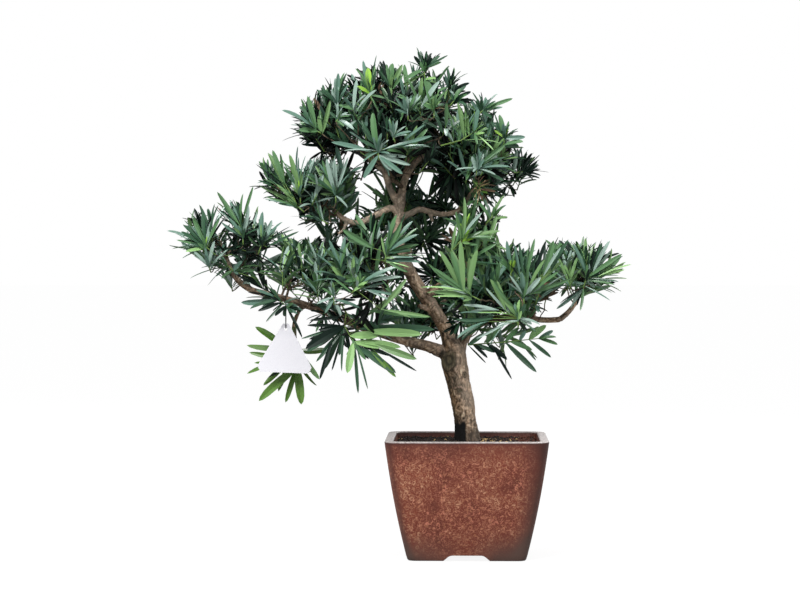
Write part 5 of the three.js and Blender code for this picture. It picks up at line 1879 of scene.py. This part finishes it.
def whorl(shoot, draw):
    """The leaves of a shoot: rows of base, way, face, length, width, bend, twist and colour."""
    count = shoot.leaves
    share = (np.arange(count) + 0.5) / count
    turn = np.arange(count) * GOLDEN_TURN + draw.uniform(0, 2 * math.pi) + draw.normal(0, 0.2, count)
    angle = np.radians(shoot.wide + (shoot.close - shoot.wide) * share ** 1.15 + draw.normal(0, 7, count))
    side = np.cross(shoot.way, (0.3, 0.9, 0.2))
    side /= np.linalg.norm(side)
    other = np.cross(shoot.way, side)
    radial = np.cos(turn)[:, None] * side + np.sin(turn)[:, None] * other
    way = np.cos(angle)[:, None] * shoot.way + np.sin(angle)[:, None] * radial
    way[:, 2] += WHORL_LIFT * (1 - 2.2 * shoot.droop)
    way = unit(way)
    face = np.sin(angle)[:, None] * shoot.way - np.cos(angle)[:, None] * radial + np.array([0, 0, 0.45])
    face = unit(face - way * np.einsum("ij,ij->i", face, way)[:, None])
    base = shoot.base + (0.12 + 0.86 * share)[:, None] * (shoot.tip - shoot.base)
    size = 0.72 + 0.42 * np.sin(math.pi * (0.12 + 0.76 * share)) - 0.25 * share ** 5
    length = shoot.leaf * size * draw.uniform(0.86, 1.12, count)
    width = length ** 0.6 * (0.045 ** 0.4) * LEAF_SLENDER * shoot.broad * draw.uniform(0.85, 1.15, count)
    bend = draw.normal(0.32 + 0.9 * shoot.droop, 0.22, count) * (1.1 - 0.6 * share)
    twist = draw.normal(0, 0.35, count)
    names = list(MIXES[shoot.mix])
    weights = np.array([MIXES[shoot.mix][name] for name in names], float)
    weights /= weights.sum()
    own = names[draw.choice(len(names), p=weights)]
    tones = []
    for k in range(count):
        name = own if draw.random() < OWN_TONE_SHARE else names[draw.choice(len(names), p=weights)]
        if share[k] > YOUNG_FROM and draw.random() < YOUNG_SHARE and shoot.mix != "inner":
            name = BRIGHTER[name]
        tones.append(TONE_ORDER.index(name))
    return base, way, face, length, width, bend, twist, np.array(tones)


print("whorls: each leaf stands", round(math.degrees(GOLDEN_TURN), 1), "degrees on from the one below")


# %% Bent leaves
def leaf_places(base, way, face, length, width, bend, twist):
    """Vertex places of many leaves at once: leaf, point, xyz."""
    side = np.cross(way, face)
    along = leaf_along[None] * np.ones((len(base), 1))
    bent = bend[:, None] * along
    curved = np.abs(bent) > 1e-4
    whole = np.where(curved, bend[:, None], 1)
    forward = np.where(curved, np.sin(bent) / whole, along)[..., None]
    down = np.where(curved, (1 - np.cos(bent)) / whole, 0)[..., None]
    middle = base[:, None] + length[:, None, None] * (forward * way[:, None] - down * face[:, None])
    up = np.cos(bent)[..., None] * face[:, None] + np.sin(bent)[..., None] * way[:, None]
    turn = twist[:, None] * along
    lean = np.cos(turn)[..., None] * side[:, None] + np.sin(turn)[..., None] * up
    rise = np.cos(turn)[..., None] * up - np.sin(turn)[..., None] * side[:, None]
    half = width[:, None] * leaf_width[None]
    return (middle + (leaf_across[None] * half)[..., None] * lean
            + (np.abs(leaf_across)[None] * half * MIDRIB_FOLD)[..., None] * rise)


print("bent leaves: folded by", MIDRIB_FOLD, "of their width")

# %% [markdown]
# A leaf is left out where it would close a gap of sky, hide bare wood, a spray set leaf by leaf or the tag,
# or stand clear of the tree's outline. A shoot that loses most of its leaves goes too.

# %% Leaves that stay
OUTLINE_SLACK = 0.006
LEAST_SHARE = 0.4


def beyond_outline(tips):
    """How far each leaf tip lies outside all masses."""
    far = []
    for tip in tips:
        point, least = Vector(tip), 1.0
        for tree in mass_trees.values():
            spot, normal, _, gap = tree.find_nearest(point, min(least, 0.2))
            if spot is not None:
                least = 0.0 if (point - spot).dot(normal) < 0 else gap
                if least == 0.0:
                    break
        far.append(least)
    return np.array(far)


def before_tag(places):
    """Which places lie in front of the tag or touch it."""
    low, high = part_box("tag")
    share = (high.z - places[..., 2]) / (high.z - low.z)
    half = (high.x - low.x) / 2 * (0.2 + 0.85 * share) + 0.003
    across = np.abs(places[..., 0] - (low.x + high.x) / 2) < half
    return across & (share > -0.06) & (share < 1.05) & (places[..., 1] < high.y + 0.002)


def keep_leaves(places, placed, fan):
    """Which leaves stay: those in no gap of sky, in front of nothing that shows, and not too far out."""
    tests = places[:, [int(np.abs(leaf_along - share).argmin()) for share in (0.08, 0.42, 0.8, 1.0)]]
    sky = shows_sky(tests).sum(1)
    wood = hides(tests.reshape(-1, 3), bare).reshape(-1, 4).sum(1)
    fans = hides(tests[:, 1:].reshape(-1, 3), shown_fans).reshape(-1, 3).sum(1)
    low, high = (np.array(corner) for corner in cad_box)
    slack = 0.02 * (high - low)
    out = ((tests < low - slack) | (tests > high + slack)).any((1, 2)) | before_tag(tests).any(1)
    kept = ~out & np.where(placed, (sky < 3) & (wood < 3), (sky == 0) & (wood == 0))
    kept &= fan | (fans == 0)
    kept[fan] = ~out[fan]
    loose = np.flatnonzero(kept & ~placed)
    kept[loose[beyond_outline(places[loose][:, np.argmax(leaf_along)]) > OUTLINE_SLACK]] = False
    return kept


def leafed(shoots):
    """The shoots that keep enough leaves, and the places, colours and masses of all their leaves."""
    draw = np.random.default_rng(5)
    parts = [shoot.leaf_rows(draw) if isinstance(shoot, Fan) else whorl(shoot, draw) for shoot in shoots]
    owner = np.concatenate([np.full(len(part[0]), index) for index, part in enumerate(parts)])
    base, way, face, length, width, bend, twist, tones = (np.concatenate(column) for column in zip(*parts))
    places = leaf_places(base, way, face, length, width, bend, twist)
    placed = np.array([shoot.placed for shoot in shoots])
    fan = np.array([isinstance(shoot, Fan) for shoot in shoots])
    kept = keep_leaves(places, placed[owner], fan[owner])
    share = np.bincount(owner, kept) / np.bincount(owner)
    full = (share >= LEAST_SHARE) | fan
    kept &= full[owner]
    masses = np.array([shoot.mass for shoot in shoots])[owner]
    print("leaves:", kept.sum(), "of", len(kept), "on", full.sum(), "of", len(shoots), "shoots")
    return [shoot for shoot, stays in zip(shoots, full) if stays], (places[kept], tones[kept], masses[kept])


shoots, leaf_set = leafed(shoots)
print("shoots with leaves:", len(shoots))


# %% Pieces of leaves
def crease_midribs(mesh):
    """Marks the edges along each midrib as sharp, so that each half of a blade catches its own light."""
    ends = np.empty(len(mesh.edges) * 2, np.int32)
    mesh.edges.foreach_get("vertices", ends)
    middle = leaf_across[ends.reshape(-1, 2) % len(leaf_across)] == 0
    mesh.attributes.new("sharp_edge", "BOOLEAN", "EDGE").data.foreach_set("value", middle.all(1))


def make_leaves(places, tones, masses):
    """Joins the leaves of each group of masses in one piece."""
    pieces = {}
    for name, look in MASSES.items():
        pieces.setdefault(look.piece, []).append(name)
    finishes = []
    for name, (colour, roughness) in LEAF_TONES.items():
        gloss = 0.22 if name in ("shade", "deep") else 0.5
        finishes.append(Finish("leaf_" + name, tone(*colour), roughness, Specular_IOR_Level=gloss).material)
    for piece, names in pieces.items():
        chosen = np.isin(masses, names)
        mesh = joined_mesh(piece, places[chosen], leaf_faces, tones[chosen])
        crease_midribs(mesh)
        for finish in finishes:
            mesh.materials.append(finish)
        add_piece(piece, mesh, names)


make_leaves(*leaf_set)

# %% [markdown]
# Only now are the twigs made, so that none leads to a shoot that lost its leaves. Twigs are brown and thin,
# and the last stretch of each shoot is a green stem.

# %% Twigs and stems
twigs = grow(shoots)


def tube_mesh(name, lines, sides):
    """One mesh of closed tubes along many lines of (places, radii)."""
    turn = np.arange(sides) * 2 * math.pi / sides
    round_x, round_y = np.cos(turn), np.sin(turn)
    places, faces, count = [], [], 0
    for line, radii in lines:
        ways = unit(np.gradient(line, axis=0), TINY)
        least = np.eye(3)[np.abs(ways.mean(0)).argmin()]
        side = unit(np.cross(ways, least), TINY)
        other = np.cross(ways, side)
        ring = (round_x[None, :, None] * side[:, None] + round_y[None, :, None] * other[:, None])
        places.append((line[:, None] + ring * radii[:, None, None]).reshape(-1, 3))
        for step in range(len(line) - 1):
            low = count + step * sides
            for k in range(sides):
                after = (k + 1) % sides
                faces.append((low + k, low + after, low + sides + after, low + sides + k))
        faces.append(tuple(count + k for k in reversed(range(sides))))
        faces.append(tuple(count + (len(line) - 1) * sides + k for k in range(sides)))
        count += len(line) * sides
    mesh = bpy.data.meshes.new(name)
    mesh.from_pydata(np.vstack(places).tolist(), [], faces)
    return mesh


def stem_line(shoot):
    """The green stem of a shoot, from its base to its tip, thinner at the end."""
    if isinstance(shoot, Fan):
        return shoot.line, np.linspace(1.4, 0.7, len(shoot.line)) * SHOOT_RADIUS
    share = np.linspace(0, 1, 4)[:, None]
    thick = SHOOT_RADIUS * np.array([1.15, 1.1, 0.95, 0.35])
    return shoot.base + share * (shoot.tip - shoot.base), thick


def make_twig_finish():
    """Thin brown bark."""
    finish = Finish("twig_bark", tone(100, 86, 70), 0.8, Specular_IOR_Level=0.3)
    streak = finish.cloud(finish.place(), 260.0, 3.0)
    brown = finish.ramp(streak, (0.3, tone(58, 48, 40)), (0.55, tone(106, 92, 74)),
                        (0.75, tone(148, 134, 110)))
    finish.drive("Base Color", brown)
    finish.bump(streak, 0.4, 0.0006)
    return finish.material


twig_mesh = tube_mesh("twigs", twigs, 5)
twig_mesh.materials.append(make_twig_finish())
add_piece("twigs", twig_mesh, [])
stem_lines = [stem_line(shoot) for shoot in shoots]
stem_lines += [stalk for fan in FANS.values() for stalk in fan.stalks()]
stem_mesh = tube_mesh("green_stems", stem_lines, 5)
stem_mesh.materials.append(Finish("green_stem", tone(112, 142, 70), 0.55).material)
add_piece("green_stems", stem_mesh, [])

# %% [markdown]
# ## Tag
# A blank white card hangs from the low left bough by a thin dark tie. Both are rigid and already have
# their real shape in the frame, so they keep it and get a finish.


# %% Tag finishes
def finish_node(name, finish):
    """Gives a node of the frame a finish."""
    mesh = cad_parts[name].data
    mesh.materials.clear()
    mesh.materials.append(finish.material)


card = Finish("white_card", tone(238, 237, 243), 0.45, Specular_IOR_Level=0.4)
pulp = card.cloud(card.place(), 1400.0, 3.0)
card.drive("Base Color", card.ramp(pulp, (0.3, tone(232, 231, 238)), (0.7, tone(243, 242, 247))))
card.bump(pulp, 0.15, 0.0003)
finish_node("tag", card)
coat = Finish("dark_tie_coat", tone(44, 40, 40), 0.5)
scuff = coat.cloud(coat.place(), 500.0)
coat.drive("Base Color", coat.ramp(scuff, (0.35, tone(34, 31, 31)), (0.7, tone(60, 54, 52))))
finish_node("tag_tie", coat)
print("tag: card and tie finished")
